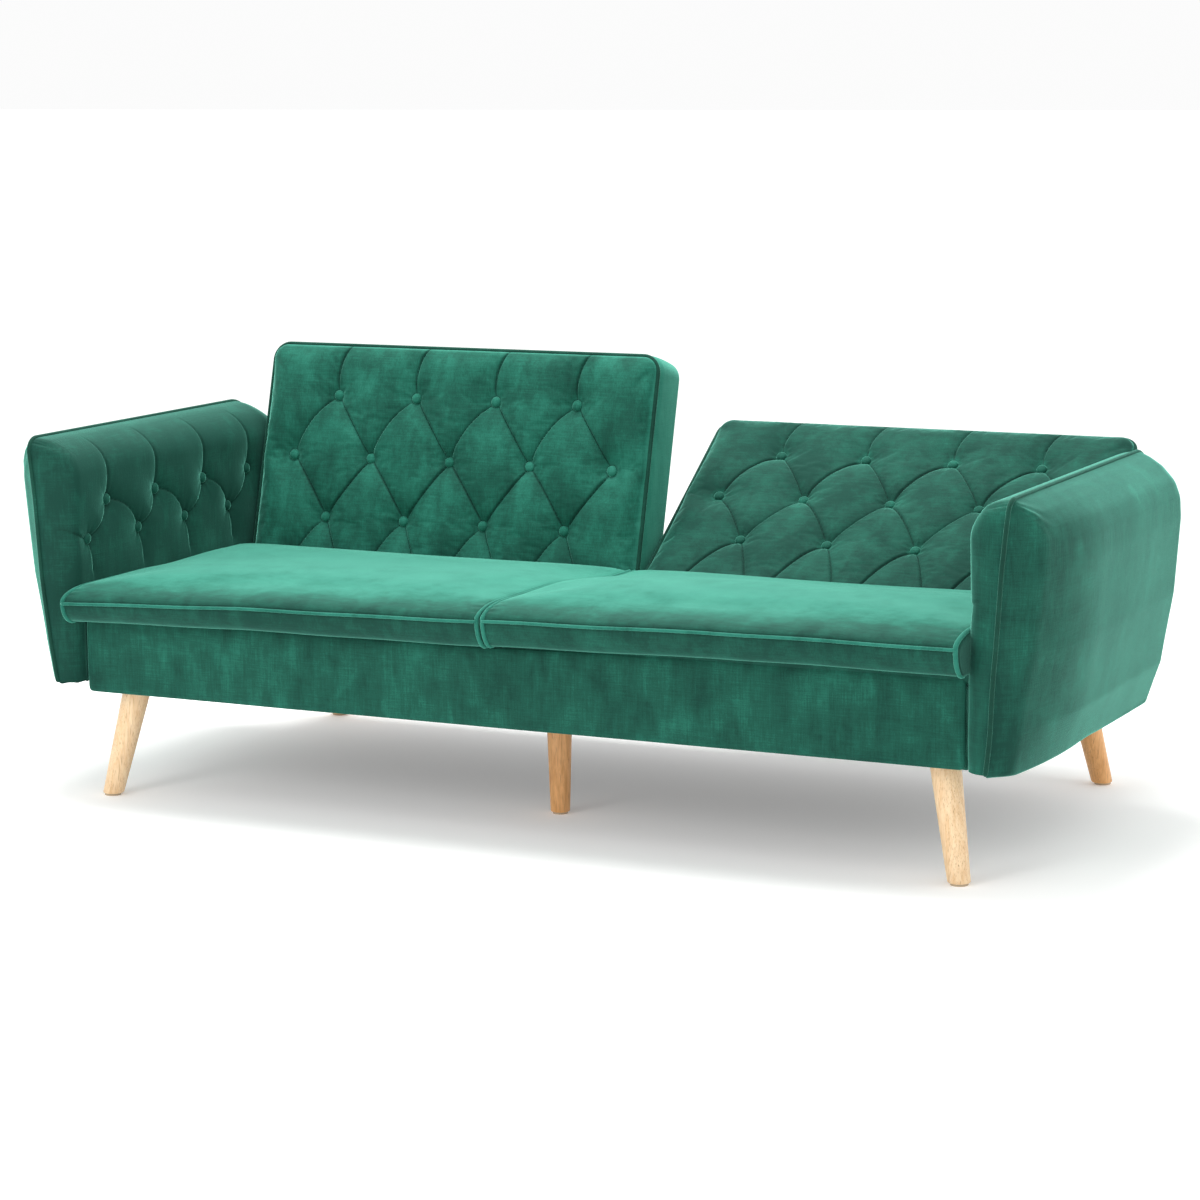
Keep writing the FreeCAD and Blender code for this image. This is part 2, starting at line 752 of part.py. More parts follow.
def rear_panel():
    x = (back_inner + panel_inset, back_outer - panel_inset)
    up = (back_low + panel_inset, back_high - panel_inset)
    corners = (back_low_corner, back_top_corner - panel_inset)
    ends = [rounded_outline(x, up, corners, lambda a, b: back_place(a, b, front))
            for front in (back_rear, back_rear + panel_thick)]
    panel = Part.makeLoft(ends, True, True)
    for face, way in hinge_places:
        depth = (-back_rear - panel_thick - passing, -back_rear + passing)
        panel = panel.cut(block(hinge_span(face, way, *slot_side), depth,
                                (back_low - passing, slot_high)))
    return panel


def back_buttons():
    way = Vector(0, -1, 0)
    return [button(button_radius, button_height, Vector(x, -back_front, z), way)
            for x, z in tuft_places()]


def back_piping():
    return piping_ring((back_inner, back_outer), (back_low, back_high),
                       (back_low_corner, back_top_corner), back_front, back_place)


# ---- build and save ----
os.makedirs("parts", exist_ok=True)

front_rail, rear_rail, end_rail, centre_beam, cross_rail = rails()
bolts = [leg_bolt(foot, top) for foot, top, *_ in leg_set().values()]
for name, (foot, top, *radii) in leg_set().items():
    solid = leg(foot, top, *radii)
    for bolt in bolts:
        solid = solid.cut(bolt)
    save(name, solid)
save("leg_bolts", group(bolts))
save("leg_glides", group([glide(foot, r) for foot, _, r, _ in leg_set().values()]))
blocks = []
for piece in corner_blocks():
    for bolt in bolts:
        piece = piece.cut(bolt)
    blocks.append(piece)
save("corner_blocks", group(blocks))
dust_cover = block((cover_thick - base_half, base_half - cover_thick),
                   (rail_front, rail_rear), (base_bottom, rail_bottom))
for bolt in bolts:
    dust_cover = dust_cover.cut(bolt)
    centre_beam = centre_beam.cut(bolt)
save("dust_cover", dust_cover)
save("rear_deck", rear_deck())

arm_bolt_set = arm_bolts()
for bolt in arm_bolt_set:
    end_rail = end_rail.cut(bolt)
plate_screw_set = [screw for face, way in hinge_places for screw in
                   [at_pivot(s) for s in plate_screws(face, way)]]
for screw in plate_screw_set:
    end_rail = end_rail.cut(screw)
    centre_beam = centre_beam.cut(screw).cut(mirrored(screw))
save("front_rail", front_rail)
save("rear_rail", rear_rail)
save("centre_beam", centre_beam)
save("spring_cross_rail", group([cross_rail, mirrored(cross_rail)]))
front_cover, rear_cover, end_cover = covers()
for bolt in arm_bolt_set:
    end_cover = end_cover.cut(bolt)
save("front_cover", front_cover)
save("rear_cover", rear_cover)
save("seat_springs", group(seat_springs()))
save("spring_clips", group(spring_clips()))
save("seat_felt", block((cover_thick - base_half, base_half - cover_thick),
                        (rail_front, spring_rail_rear), (base_top, base_top + felt_thick)))

arm_frame_solids = []
for piece in arm_frame():
    for bolt in arm_bolt_set:
        piece = piece.cut(bolt)
    arm_frame_solids.append(piece)
by_side = {
    "end_rail": end_rail, "end_cover": end_cover, "seat_cushion": seat_cushion(),
    "arm_frame": group(arm_frame_solids), "arm_pad": arm_pad(), "arm_shell": arm_shell(),
    "arm_piping": arm_piping(),
}
for node, shape in by_side.items():
    for side in sides:
        save(f"{side}_{node}", on_side(shape, side))
both_sides = {"seat_piping": [seat_ring()], "arm_buttons": arm_buttons(),
              "arm_bolts": arm_bolt_set}
for node, solids in both_sides.items():
    save(node, group(solids + [mirrored(s) for s in solids]))

hinges = {
    "hinge_plates": [fixed_plate(*h) for h in hinge_places],
    "hinge_pins": [hinge_pin(*h) for h in hinge_places] + [pawl_pin(*h) for h in hinge_places],
    "hinge_screws": [s for h in hinge_places for s in plate_screws(*h)],
    "pawl_springs": [pawl_spring(*h) for h in hinge_places],
}
for node, solids in hinges.items():
    pairs = [at_pivot(s) for s in solids]
    save(node, group(pairs + [mirrored(s) for s in pairs]))

back_nodes = {
    "back_frame": group(back_frame()), "back_webbing": group(back_webbing()),
    "back_cushion": back_cushion(), "back_rear_panel": rear_panel(),
    "back_buttons": group(back_buttons()), "back_piping": back_piping(),
    "hinge_arms": group([hinge_arm(*h) for h in hinge_places]),
    "hinge_arm_screws": group([s for h in hinge_places for s in arm_screws(*h)]),
}
for side in sides:
    pawls = group([at_pivot(pawl(*h)) for h in hinge_places])
    save(f"{side}_pawls", on_side(pawls, side))
    for node, shape in back_nodes.items():
        save(f"{side}_{node}", stand_back(shape, side))
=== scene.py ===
import json
import math

import bpy
import numpy as np
from mathutils import Matrix, Vector


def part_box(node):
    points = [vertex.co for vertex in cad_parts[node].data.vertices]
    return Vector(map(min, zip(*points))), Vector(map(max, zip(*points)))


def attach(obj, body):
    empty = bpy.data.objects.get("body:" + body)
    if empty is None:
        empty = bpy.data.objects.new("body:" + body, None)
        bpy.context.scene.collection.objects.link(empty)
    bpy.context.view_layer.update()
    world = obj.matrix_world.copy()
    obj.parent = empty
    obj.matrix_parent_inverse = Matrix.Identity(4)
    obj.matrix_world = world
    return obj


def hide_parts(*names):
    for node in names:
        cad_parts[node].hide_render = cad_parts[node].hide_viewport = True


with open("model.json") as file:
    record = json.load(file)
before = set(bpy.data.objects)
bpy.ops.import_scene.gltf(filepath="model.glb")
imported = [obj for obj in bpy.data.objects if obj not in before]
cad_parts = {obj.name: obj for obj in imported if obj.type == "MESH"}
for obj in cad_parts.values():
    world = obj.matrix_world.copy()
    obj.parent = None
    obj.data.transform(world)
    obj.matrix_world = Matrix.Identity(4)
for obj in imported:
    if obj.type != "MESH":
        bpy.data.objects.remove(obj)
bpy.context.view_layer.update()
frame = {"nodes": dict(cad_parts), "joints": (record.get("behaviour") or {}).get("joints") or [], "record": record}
print("frame loaded")

mm = 0.001
far = 9.0      # metres: farther than anything here
sides = {"left": -1, "right": 1}
hinges = {joint["name"]: joint for joint in frame["joints"]}


def meshPoints(piece):
    points = np.empty(len(piece.data.vertices) * 3)
    piece.data.vertices.foreach_get("co", points)
    return points.reshape(-1, 3)


def nodePoints(node):
    return meshPoints(frame["nodes"][node])


def setPoints(piece, points):
    piece.data.vertices.foreach_set("co", np.ascontiguousarray(points, dtype=float).ravel())
    piece.data.update()


def makePiece(name, points, faces):
    mesh = bpy.data.meshes.new(name)
    mesh.from_pydata([tuple(p) for p in points], [], [tuple(f) for f in faces])
    mesh.update()
    piece = bpy.data.objects.new(name, mesh)
    bpy.context.scene.collection.objects.link(piece)
    piece.data.shade_smooth()
    return piece


def copyOf(master, name):
    piece = master.copy()
    piece.data = master.data.copy()
    piece.name = name
    bpy.context.scene.collection.objects.link(piece)
    return piece


# Gives a piece the points of the right side, mirrored when its way is to the left.
def setOnSide(piece, points, way):
    points[:, 0] *= way
    setPoints(piece, points)
    if way < 0:
        piece.data.flip_normals()


# Quads over a grid of points stored row by row.
def gridFaces(rows, cols, start=0, wrap=False, flip=False):
    faces = []
    for i in range(rows - 1):
        for j in range(cols if wrap else cols - 1):
            k = (j + 1) % cols
            a, b = start + i * cols + j, start + i * cols + k
            c, d = b + cols, a + cols
            faces.append((a, d, c, b) if flip else (a, b, c, d))
    return faces


# Turns the piece's modifiers into plain mesh.
def applyAll(piece):
    graph = bpy.context.evaluated_depsgraph_get()
    graph.update()
    fresh = bpy.data.meshes.new_from_object(piece.evaluated_get(graph))
    piece.modifiers.clear()
    old, piece.data = piece.data, fresh
    bpy.data.meshes.remove(old)
    piece.data.shade_smooth()


def subdivide(piece):
    finer = piece.modifiers.new("finer", "SUBSURF")
    finer.levels = finer.render_levels = 1
    finer.boundary_smooth = "PRESERVE_CORNERS"
    applyAll(piece)


# Blows cloth up from inside; held points stay, and none moves past cap.
def puff(piece, held, pressure, cap, grow=0.0, frames=20, bending=0.6, even=0):
    before = meshPoints(piece)
    group = piece.vertex_groups.new(name="held")
    group.add(np.nonzero(held)[0].tolist(), 1.0, "REPLACE")
    cloth = piece.modifiers.new("cloth", "CLOTH")
    settings = cloth.settings
    settings.use_pressure, settings.uniform_pressure_force = True, pressure
    settings.effector_weights.gravity = 0.0
    settings.vertex_group_mass, settings.pin_stiffness = "held", 1.0
    settings.shrink_min = -grow
    settings.bending_stiffness, settings.quality = bending, 5
    cloth.point_cache.frame_start, cloth.point_cache.frame_end = 1, frames
    scene = bpy.context.scene
    for number in range(1, frames + 1):
        scene.frame_set(number)
    blown = piece.evaluated_get(bpy.context.evaluated_depsgraph_get())
    move = meshPoints(blown) - before
    piece.modifiers.remove(cloth)
    scene.frame_set(1)
    length = np.linalg.norm(move, axis=1, keepdims=True)
    move *= np.minimum(1.0, cap / np.maximum(length, 1e-9))
    edges = np.empty(len(piece.data.edges) * 2, int)
    piece.data.edges.foreach_get("vertices", edges)
    a, b = edges.reshape(-1, 2).T
    shares = np.bincount(edges, minlength=len(move))[:, None]
    for _ in range(even):      # the move is evened out between neighbours, so no wrinkle stays
        total = np.zeros_like(move)
        np.add.at(total, a, move[b])
        np.add.at(total, b, move[a])
        move = np.where(held[:, None], move, 0.5 * move + 0.5 * total / shares)
    setPoints(piece, before + move)
    print("simulated", piece.name, "largest move", round(float(length.max()) / mm, 1), "mm")
    return before + move


# A round cord along a list of points, with ends rounded off when it is open.
def tube(name, path, radius, closed=False, around=10):
    path = np.asarray(path, float)
    count = len(path)
    if closed:
        along = np.roll(path, -1, 0) - np.roll(path, 1, 0)
    else:
        along = np.gradient(path, axis=0)
    along /= np.linalg.norm(along, axis=1, keepdims=True)
    side = np.cross(along[0], (0.3, 0.5, 0.81))
    points = []
    for number in range(count):
        side = side - along[number] * np.dot(side, along[number])
        side /= np.linalg.norm(side)
        up = np.cross(along[number], side)
        end = 0.55 if not closed and number in (0, count - 1) else 1.0
        for step in range(around):
            turn = 2 * math.pi * step / around
            points.append(path[number] + radius * end
                          * (side * math.cos(turn) + up * math.sin(turn)))
    faces = gridFaces(count, around, wrap=True)
    if closed:
        last = (count - 1) * around
        faces += [(last + j, last + (j + 1) % around, (j + 1) % around, j)
                  for j in range(around)]
    else:
        faces.append(tuple(reversed(range(around))))
        faces.append(tuple(range((count - 1) * around, count * around)))
    return makePiece(name, points, faces)


# The same line with points at even steps along it, or with a number of them.
def evenly(path, step=0.0, count=0, closed=False, toEnd=True):
    path = np.asarray(path, float)
    if closed:
        path = np.vstack([path, path[:1]])
    run = np.concatenate([[0], np.cumsum(np.linalg.norm(np.diff(path, axis=0), axis=1))])
    count = count or max(4, int(run[-1] / step))
    at = np.linspace(0, run[-1], count, endpoint=toEnd and not closed)
    return np.stack([np.interp(at, run, path[:, k]) for k in range(path.shape[1])], 1)


# Smooth, seeded unevenness: a few crossed sine waves of about that size, from -1 to 1.
def waves(points, size, seed, count=7):
    rng = np.random.default_rng(seed)
    total = np.zeros(len(points))
    for _ in range(count):
        way = rng.normal(size=3)
        way /= np.linalg.norm(way)
        pitch = 2 * math.pi / (size * rng.uniform(0.7, 1.6))
        total += np.sin(points @ way * pitch + rng.uniform(0, 2 * math.pi))
    return total / count ** 0.5 / 1.4


def giveTo(piece, body, slot, material, *nodes):
    piece.data.materials.clear()
    piece.data.materials.append(material)
    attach(piece, body)
    if nodes:
        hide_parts(*nodes)
    return piece


# Keeps one number for each point: its painted shade in a crease, or its panel's painted sheen and shade.
def mark(piece, name, values):
    layer = piece.data.attributes.new(name, "FLOAT", "POINT")
    values = np.broadcast_to(values, (len(piece.data.vertices),))
    layer.data.foreach_set("value", np.ascontiguousarray(values, dtype=np.float32))


# One piece made of several, which go.
def merged(name, pieces):
    points, faces = [], []
    for piece in pieces:
        faces += [tuple(i + len(points) for i in f.vertices) for f in piece.data.polygons]
        points += list(meshPoints(piece))
        bpy.data.objects.remove(piece)
    return makePiece(name, points, faces)


# 0 before start, 1 after end, and smooth between.
def eased(value, start, end):
    t = np.clip((value - start) / (end - start), 0, 1)
    return t * t * (3 - 2 * t)


# An sRGB hex colour as linear RGBA.
def toLinear(code):
    parts = [int(code[i:i + 2], 16) / 255 for i in (1, 3, 5)]
    return tuple(c / 12.92 if c <= 0.04045 else ((c + 0.055) / 1.055) ** 2.4
                 for c in parts) + (1.0,)


# Adds one node; settings name inputs, properties or a ramp's stops, links are (input, source).
def addNode(tree, kind, settings, links=()):
    node = tree.nodes.new(kind)
    for key, value in settings.items():
        if key == "stops":
            for element, (position, tone) in zip(node.color_ramp.elements, (value[0], value[-1])):
                element.position, element.color = position, toLinear(tone)
            for position, tone in value[1:-1]:
                node.color_ramp.elements.new(position).color = toLinear(tone)
        elif isinstance(key, int) or key in node.inputs:
            node.inputs[key].default_value = value
        else:
            setattr(node, key, value)
    for key, source in links:
        tree.links.new(source, node.inputs[key])
    return node


def newMaterial(name):
    material = bpy.data.materials.new(name)
    material.use_nodes = True
    tree = material.node_tree
    tree.nodes.clear()
    return material, tree, addNode(tree, "ShaderNodeTexCoord", {}).outputs["Object"]


# The material's surface: a Principled shader with its constant sockets and its links.
def addSurface(tree, settings, links):
    shader = addNode(tree, "ShaderNodeBsdfPrincipled", settings, links)
    addNode(tree, "ShaderNodeOutputMaterial", {}, [("Surface", shader.outputs[0])])


velvetLook = {
    "deep": "#0f3d33", "body": "#175244", "brushed": "#206857", "pale": "#2c7665",
    # the crease colour is painted shade, mixed in where folds, button rings, valleys and seams lie
    "silvery": "#3d8e7a", "crease": "#06221b",
    "patchSize": 110 * mm, "strokeSize": 28 * mm, "slubWidth": 2.2 * mm, "slubLength": 40 * mm,
    "pileSize": 1.6 * mm,      # real pile is finer than this; drawn coarser so that it shows
    "patchShare": 0.4, "strokeShare": 0.36, "yarnShare": 0.17, "relief": 0.6 * mm,
    "sheen": 1.0, "sheenRoughness": 0.3, "sheenTint": "#98ffe6",
    "roughness": (0.72, 0.9), "ior": 1.46, "specular": 0.18,
}


# Woven velvet: dense cut pile, paler in random patches and strokes and with sheen at grazing angles; each panel's
# tone is shifted by a painted sheen and shade, and painted shade darkens its creases.
def velvet(name, look):
    material, tree, place = newMaterial(name)
    patches = addNode(tree, "ShaderNodeTexNoise", {
        "Scale": 1 / look["patchSize"], "Detail": 4.0, "Roughness": 0.55, "Distortion": 0.5},
        [("Vector", place)]).outputs["Fac"]
    stretch = addNode(tree, "ShaderNodeMapping", {"Scale": (1.0, 1.0, 0.35)}, [("Vector", place)])
    strokes = addNode(tree, "ShaderNodeTexNoise", {
        "Scale": 1 / look["strokeSize"], "Detail": 5.0, "Roughness": 0.6, "Distortion": 0.3},
        [("Vector", stretch.outputs[0])])
    thin, long = 1 / look["slubWidth"], 1 / look["slubLength"]
    slubs = []
    for scale in ((thin, thin, long), (long, long, thin)):   # yarn of the backing, both ways
        laid = addNode(tree, "ShaderNodeMapping", {"Scale": scale}, [("Vector", place)])
        slubs.append(addNode(tree, "ShaderNodeTexNoise", {"Scale": 1.0, "Detail": 2.0},
                             [("Vector", laid.outputs[0])]).outputs["Fac"])
    pile = addNode(tree, "ShaderNodeTexNoise", {"Scale": 1 / look["pileSize"], "Detail": 2.0},
                   [("Vector", place)])
    stroked = addNode(tree, "ShaderNodeMath", {
        "operation": "MULTIPLY_ADD", 1: look["strokeShare"], 2: 0.12},
        [(0, strokes.outputs["Fac"])])
    lean = addNode(tree, "ShaderNodeMath", {"operation": "MULTIPLY_ADD", 1: look["patchShare"]},
                   [(0, patches), (2, stroked.outputs[0])])
    yarn = addNode(tree, "ShaderNodeMath", {"operation": "ADD"}, [(0, slubs[0]), (1, slubs[1])])
    fine = addNode(tree, "ShaderNodeMath", {"operation": "ADD"},
                   [(0, yarn.outputs[0]), (1, pile.outputs["Fac"])])
    # the three fine noises average 1.5, which is taken off again
    finer = addNode(tree, "ShaderNodeMath", {
        "operation": "MULTIPLY_ADD", 1: look["yarnShare"], 2: -1.5 * look["yarnShare"]},
        [(0, fine.outputs[0])])
    mixed = addNode(tree, "ShaderNodeMath", {"operation": "ADD"},
                    [(0, lean.outputs[0]), (1, finer.outputs[0])])
    # painted sheen and shade: a per-point shift that makes whole panels lighter or darker for how light falls on
    # them
    nap = addNode(tree, "ShaderNodeAttribute", {"attribute_name": "nap"})
    patchesAndPaintedLight = addNode(tree, "ShaderNodeMath", {"operation": "ADD"},
                      [(0, mixed.outputs[0]), (1, nap.outputs["Fac"])])
    tones = addNode(tree, "ShaderNodeValToRGB", {"stops": (
        (0.34, look["deep"]), (0.5, look["body"]), (0.62, look["brushed"]), (0.72, look["pale"]),
        (1.0, look["silvery"]))}, [("Fac", patchesAndPaintedLight.outputs[0])])
    # painted shade: darkens the colour where folds, button rings, valleys and seams lie
    crease = addNode(tree, "ShaderNodeAttribute", {"attribute_name": "crease"})
    shaded = addNode(tree, "ShaderNodeMix", {"data_type": "RGBA", 7: toLinear(look["crease"])},
                     [(0, crease.outputs["Fac"]), (6, tones.outputs["Color"])])
    rough = addNode(tree, "ShaderNodeMapRange", {
        "To Min": look["roughness"][1], "To Max": look["roughness"][0]}, [("Value", patches)])
    relief = addNode(tree, "ShaderNodeBump", {"Strength": 0.35, "Distance": look["relief"]},
                     [("Height", fine.outputs[0])])
    addSurface(tree, {
        "IOR": look["ior"], "Specular IOR Level": look["specular"],
        "Sheen Weight": look["sheen"], "Sheen Roughness": look["sheenRoughness"],
        "Sheen Tint": toLinear(look["sheenTint"])},
        [("Base Color", shaded.outputs[2]), ("Roughness", rough.outputs[0]),
         ("Normal", relief.outputs[0])])
    return material


woodLook = {
    "pale": "#f4d8b0", "tan": "#e3bb8a", "pore": "#a26d3c", "growth": 9 * mm,
    "poreWidth": 1.1 * mm, "poreLength": 28 * mm, "relief": 0.2 * mm,
    "lacquer": 0.25, "lacquerRoughness": 0.3, "roughness": (0.38, 0.55),
}


# Clear-lacquered rubberwood: straight pale grain with short dark pores along the leg.
def turnedWood(name, look):
    material, tree, place = newMaterial(name)
    long = addNode(tree, "ShaderNodeMapping", {"Scale": (1.0, 1.0, 0.12)}, [("Vector", place)])
    figure = addNode(tree, "ShaderNodeTexNoise", {
        "Scale": 1 / look["growth"], "Detail": 5.0, "Roughness": 0.6, "Distortion": 1.2},
        [("Vector", long.outputs[0])]).outputs["Fac"]
    tones = addNode(tree, "ShaderNodeValToRGB", {
        "stops": ((0.33, look["tan"]), (0.66, look["pale"]))}, [("Fac", figure)])
    thin, tall = 1 / look["poreWidth"], 1 / look["poreLength"]
    laid = addNode(tree, "ShaderNodeMapping", {"Scale": (thin, thin, tall)}, [("Vector", place)])
    pores = addNode(tree, "ShaderNodeTexNoise", {"Scale": 1.0, "Detail": 2.0},
                    [("Vector", laid.outputs[0])])
    marks = addNode(tree, "ShaderNodeMapRange", {
        "From Min": 0.56, "From Max": 0.72, "To Max": 0.75}, [("Value", pores.outputs["Fac"])])
    grain = addNode(tree, "ShaderNodeMix", {"data_type": "RGBA", 7: toLinear(look["pore"])},
                    [(0, marks.outputs[0]), (6, tones.outputs["Color"])])
    rough = addNode(tree, "ShaderNodeMapRange", {
        "To Min": look["roughness"][0], "To Max": look["roughness"][1]}, [("Value", figure)])
    relief = addNode(tree, "ShaderNodeBump", {
        "Strength": 0.3, "Distance": look["relief"], "invert": True}, [("Height", marks.outputs[0])])
    addSurface(tree, {"Coat Weight": look["lacquer"], "Coat Roughness": look["lacquerRoughness"]},
               [("Base Color", grain.outputs[2]), ("Roughness", rough.outputs[0]),
                ("Normal", relief.outputs[0])])
    return material


# A plain finish with fine seeded mottling, its grit in real size.
def speckled(name, low, high, grit, roughness, metal=0.0, relief=0.1):
    material, tree, place = newMaterial(name)
    spots = addNode(tree, "ShaderNodeTexNoise", {"Scale": 1 / grit, "Detail": 4.0},
                    [("Vector", place)]).outputs["Fac"]
    tones = addNode(tree, "ShaderNodeValToRGB", {"stops": ((0.35, low), (0.65, high))},
                    [("Fac", spots)])
    rough = addNode(tree, "ShaderNodeMapRange", {
        "To Min": roughness[0], "To Max": roughness[1]}, [("Value", spots)])
    bump = addNode(tree, "ShaderNodeBump", {"Strength": relief, "Distance": 0.3 * mm},
                   [("Height", spots)])
    addSurface(tree, {"Metallic": metal},
               [("Base Color", tones.outputs["Color"]), ("Roughness", rough.outputs[0]),
                ("Normal", bump.outputs[0])])
    return material


emeraldVelvet = velvet("emeraldVelvet", velvetLook)
# the same cloth for the cords of the backs and arms: darker, as painted shade, and with less sheen
pipingVelvet = velvet("pipingVelvet", dict(
    velvetLook, deep="#0e342b", body="#123f33", brushed="#164a3d", sheen=0.6))
# a lighter copy for the seat's cords: painted light, as if they catch it
paintedLitSeatPipingVelvet = velvet("paintedLitSeatPipingVelvet", dict(
    velvetLook, deep="#15493d", body="#1d5f50", brushed="#277161"))
paleLegWood = turnedWood("paleRubberwood", woodLook)
# the rear and centre legs: a darker, more orange copy of the same wood, painted shade for the shade under the sofa
paintedShadeLegWood = turnedWood("paintedShadeRubberwood", dict(woodLook, pale="#eeb475", tan="#cf9250"))
# dull grey plate with a soft metal shine
zincSteel = speckled("zincPlatedSteel", "#8f9397", "#b9bcbf", 3 * mm, (0.3, 0.45), metal=1.0)
# moulded nylon, a waxy tan
nylonGlide = speckled("naturalNylon", "#a8977e", "#bdab90", 1 * mm, (0.45, 0.6))
# pressed fibre, black and without shine
dustCloth = speckled("nonWovenCloth", "#141516", "#232425", 2 * mm, (0.85, 0.95), relief=0.5)
# rough-sawn softwood, pale and dry
framePine = speckled("sawnPine", "#c49a63", "#dcb880", 8 * mm, (0.6, 0.75), relief=0.2)
# woven rubber and jute strap, dull brown
elasticWebbing = speckled("elasticWebbing", "#4a463e", "#6b665b", 2 * mm, (0.8, 0.9), relief=0.5)

slotMaterials = {
    "velvet": emeraldVelvet, "piping_velvet": pipingVelvet, "rear_velvet": emeraldVelvet,
    "leg_wood": paleLegWood, "frame_wood": framePine, "zinc_steel": zincSteel,
    "glide_plastic": nylonGlide, "black_felt": dustCloth, "webbing": elasticWebbing,
}
for part in frame["record"]["subparts"]:
    cadMesh = frame["nodes"][part["node"]].data
    cadMesh.materials.clear()
    cadMesh.materials.append(slotMaterials[part["material_slot"]])
for node in ("left_arm_frame", "right_arm_frame", "rear_rail"):
    frame["nodes"][node].data.materials[0] = emeraldVelvet      # wrapped in the same cloth
print("materials made")


# A line between two points that bows to its left by bow times its length.
def curvedLine(start, end, bow, steps=8):
    start, end = np.asarray(start, float), np.asarray(end, float)
    way = end - start
    left = np.array([-way[1], way[0]]) * bow
    t = np.linspace(0, 1, steps + 1)[:, None]
    return start + way * t + left * 4 * t * (1 - t)


# Distance to the nearest line, and which side of it a point lies on.
def nearestOnLines(points, lines):
    best = np.full(len(points), far)
    hand = np.zeros(len(points))
    for line in lines:
        for a, b in zip(line, line[1:]):
            way = b - a
            t = np.clip(((points - a) @ way) / (way @ way), 0, 1)
            away = points - (a + t[:, None] * way)
            d = np.linalg.norm(away, axis=1)
            closer = d < best
            best[closer] = d[closer]
            hand[closer] = np.sign(way[0] * away[:, 1] - way[1] * away[:, 0])[closer]
    return best, hand


def nearestButton(points, buttons):
    gaps = np.linalg.norm(points[:, None, :] - np.asarray(buttons)[None], axis=2)
    which = gaps.argmin(1)
    away = points - np.asarray(buttons)[which]
    return gaps.min(1), which, np.arctan2(away[:, 1], away[:, 0])


tuftLook = {
    "pull": 21 * mm, "pullReach": 22 * mm,      # how deep a button draws the cloth, how wide
    "valley": 5.5 * mm, "valleyReach": 15 * mm,  # soft valley along each pleat
    "groove": 3.0 * mm, "grooveReach": 1.9 * mm,  # the folded pleat itself
    "overlap": 1.7 * mm, "overlapReach": 11 * mm,  # one side of the fold lies over the other
    "rays": 1.3 * mm, "rayReach": 17 * mm, "rayStart": 8 * mm,      # small gathers round a button
    # how much painted shade darkens the folds, the rings round the buttons and the valleys, and how wide it
    # reaches
    "foldShade": 0.8, "foldWidth": 1.6 * mm, "ringShade": 0.75, "ringWidth": 6 * mm,
    "ringStart": 9 * mm, "valleyShade": 0.22, "valleyWidth": 12 * mm,
}


# The broad shape of tufting: how far below its crown the cloth lies.
def tuftSoft(points, buttons, lines, look):
    toLine, _ = nearestOnLines(points, lines)
    toButton, _, _ = nearestButton(points, buttons)
    return (look["pull"] * np.exp(-toButton / look["pullReach"])
            + look["valley"] * np.exp(-toLine / look["valleyReach"]))


# The fine shape of tufting, and the painted shade each point gets from folds, button rings and valleys.
def tuftFine(points, buttons, lines, look, seed):
    toLine, hand = nearestOnLines(points, lines)
    toButton, which, turn = nearestButton(points, buttons)
    rng = np.random.default_rng(seed)
    phase, folds = rng.uniform(0, 6.28, len(buttons)), rng.integers(7, 11, len(buttons))
    rays = np.cos(turn * folds[which] + phase[which]) * np.exp(-toButton / look["rayReach"])
    rays *= np.clip(toButton / look["rayStart"] - 1, 0, 1)
    down = (look["groove"] * np.exp(-(toLine / look["grooveReach"]) ** 2)
            + look["overlap"] * hand * np.exp(-toLine / look["overlapReach"])
            + look["rays"] * rays)
    toRing = np.maximum(toButton - look["ringStart"], 0)
    crease = np.maximum.reduce([
        look["foldShade"] * np.exp(-(toLine / look["foldWidth"]) ** 2),
        look["ringShade"] * np.exp(-toRing / look["ringWidth"]),
        look["valleyShade"] * np.exp(-toLine / look["valleyWidth"])])
    return down, crease


# Points over a rectangle with rounded corners: radii at the low and the high end.
def roundedGrid(low, high, radii, step):
    nu = int(round((high[0] - low[0]) / step)) + 1
    nv = int(round((high[1] - low[1]) / step)) + 1
    u, v = np.meshgrid(np.linspace(low[0], high[0], nu), np.linspace(low[1], high[1], nv))
    u, v = u.ravel(), v.ravel()
    r = np.where(v < (low[1] + high[1]) / 2, radii[0], radii[1])
    du = np.minimum(u - low[0], high[0] - u)
    dv = np.minimum(v - low[1], high[1] - v)
    near = (du < r) & (dv < r)
    a, b = np.where(near, r - du, 0), np.where(near, r - dv, 0)
    most, length = np.maximum(a, b), np.maximum(np.hypot(a, b), 1e-9)
    a2, b2 = a * most / length, b * most / length
    u = u + np.where(near, (a - a2) * np.sign((low[0] + high[0]) / 2 - u), 0)
    v = v + np.where(near, (b - b2) * np.sign((low[1] + high[1]) / 2 - v), 0)
    edge = np.where(near, r - most, np.minimum(du, dv))
    return np.stack([u, v], 1), edge, nv, nu


# Indices round the border of a grid, in order.
def edgeLoop(rows, cols):
    bottom = list(range(cols))
    right = [i * cols + cols - 1 for i in range(1, rows)]
    top = [(rows - 1) * cols + j for j in range(cols - 2, -1, -1)]
    left = [i * cols for i in range(rows - 2, 0, -1)]
    return bottom + right + top + left


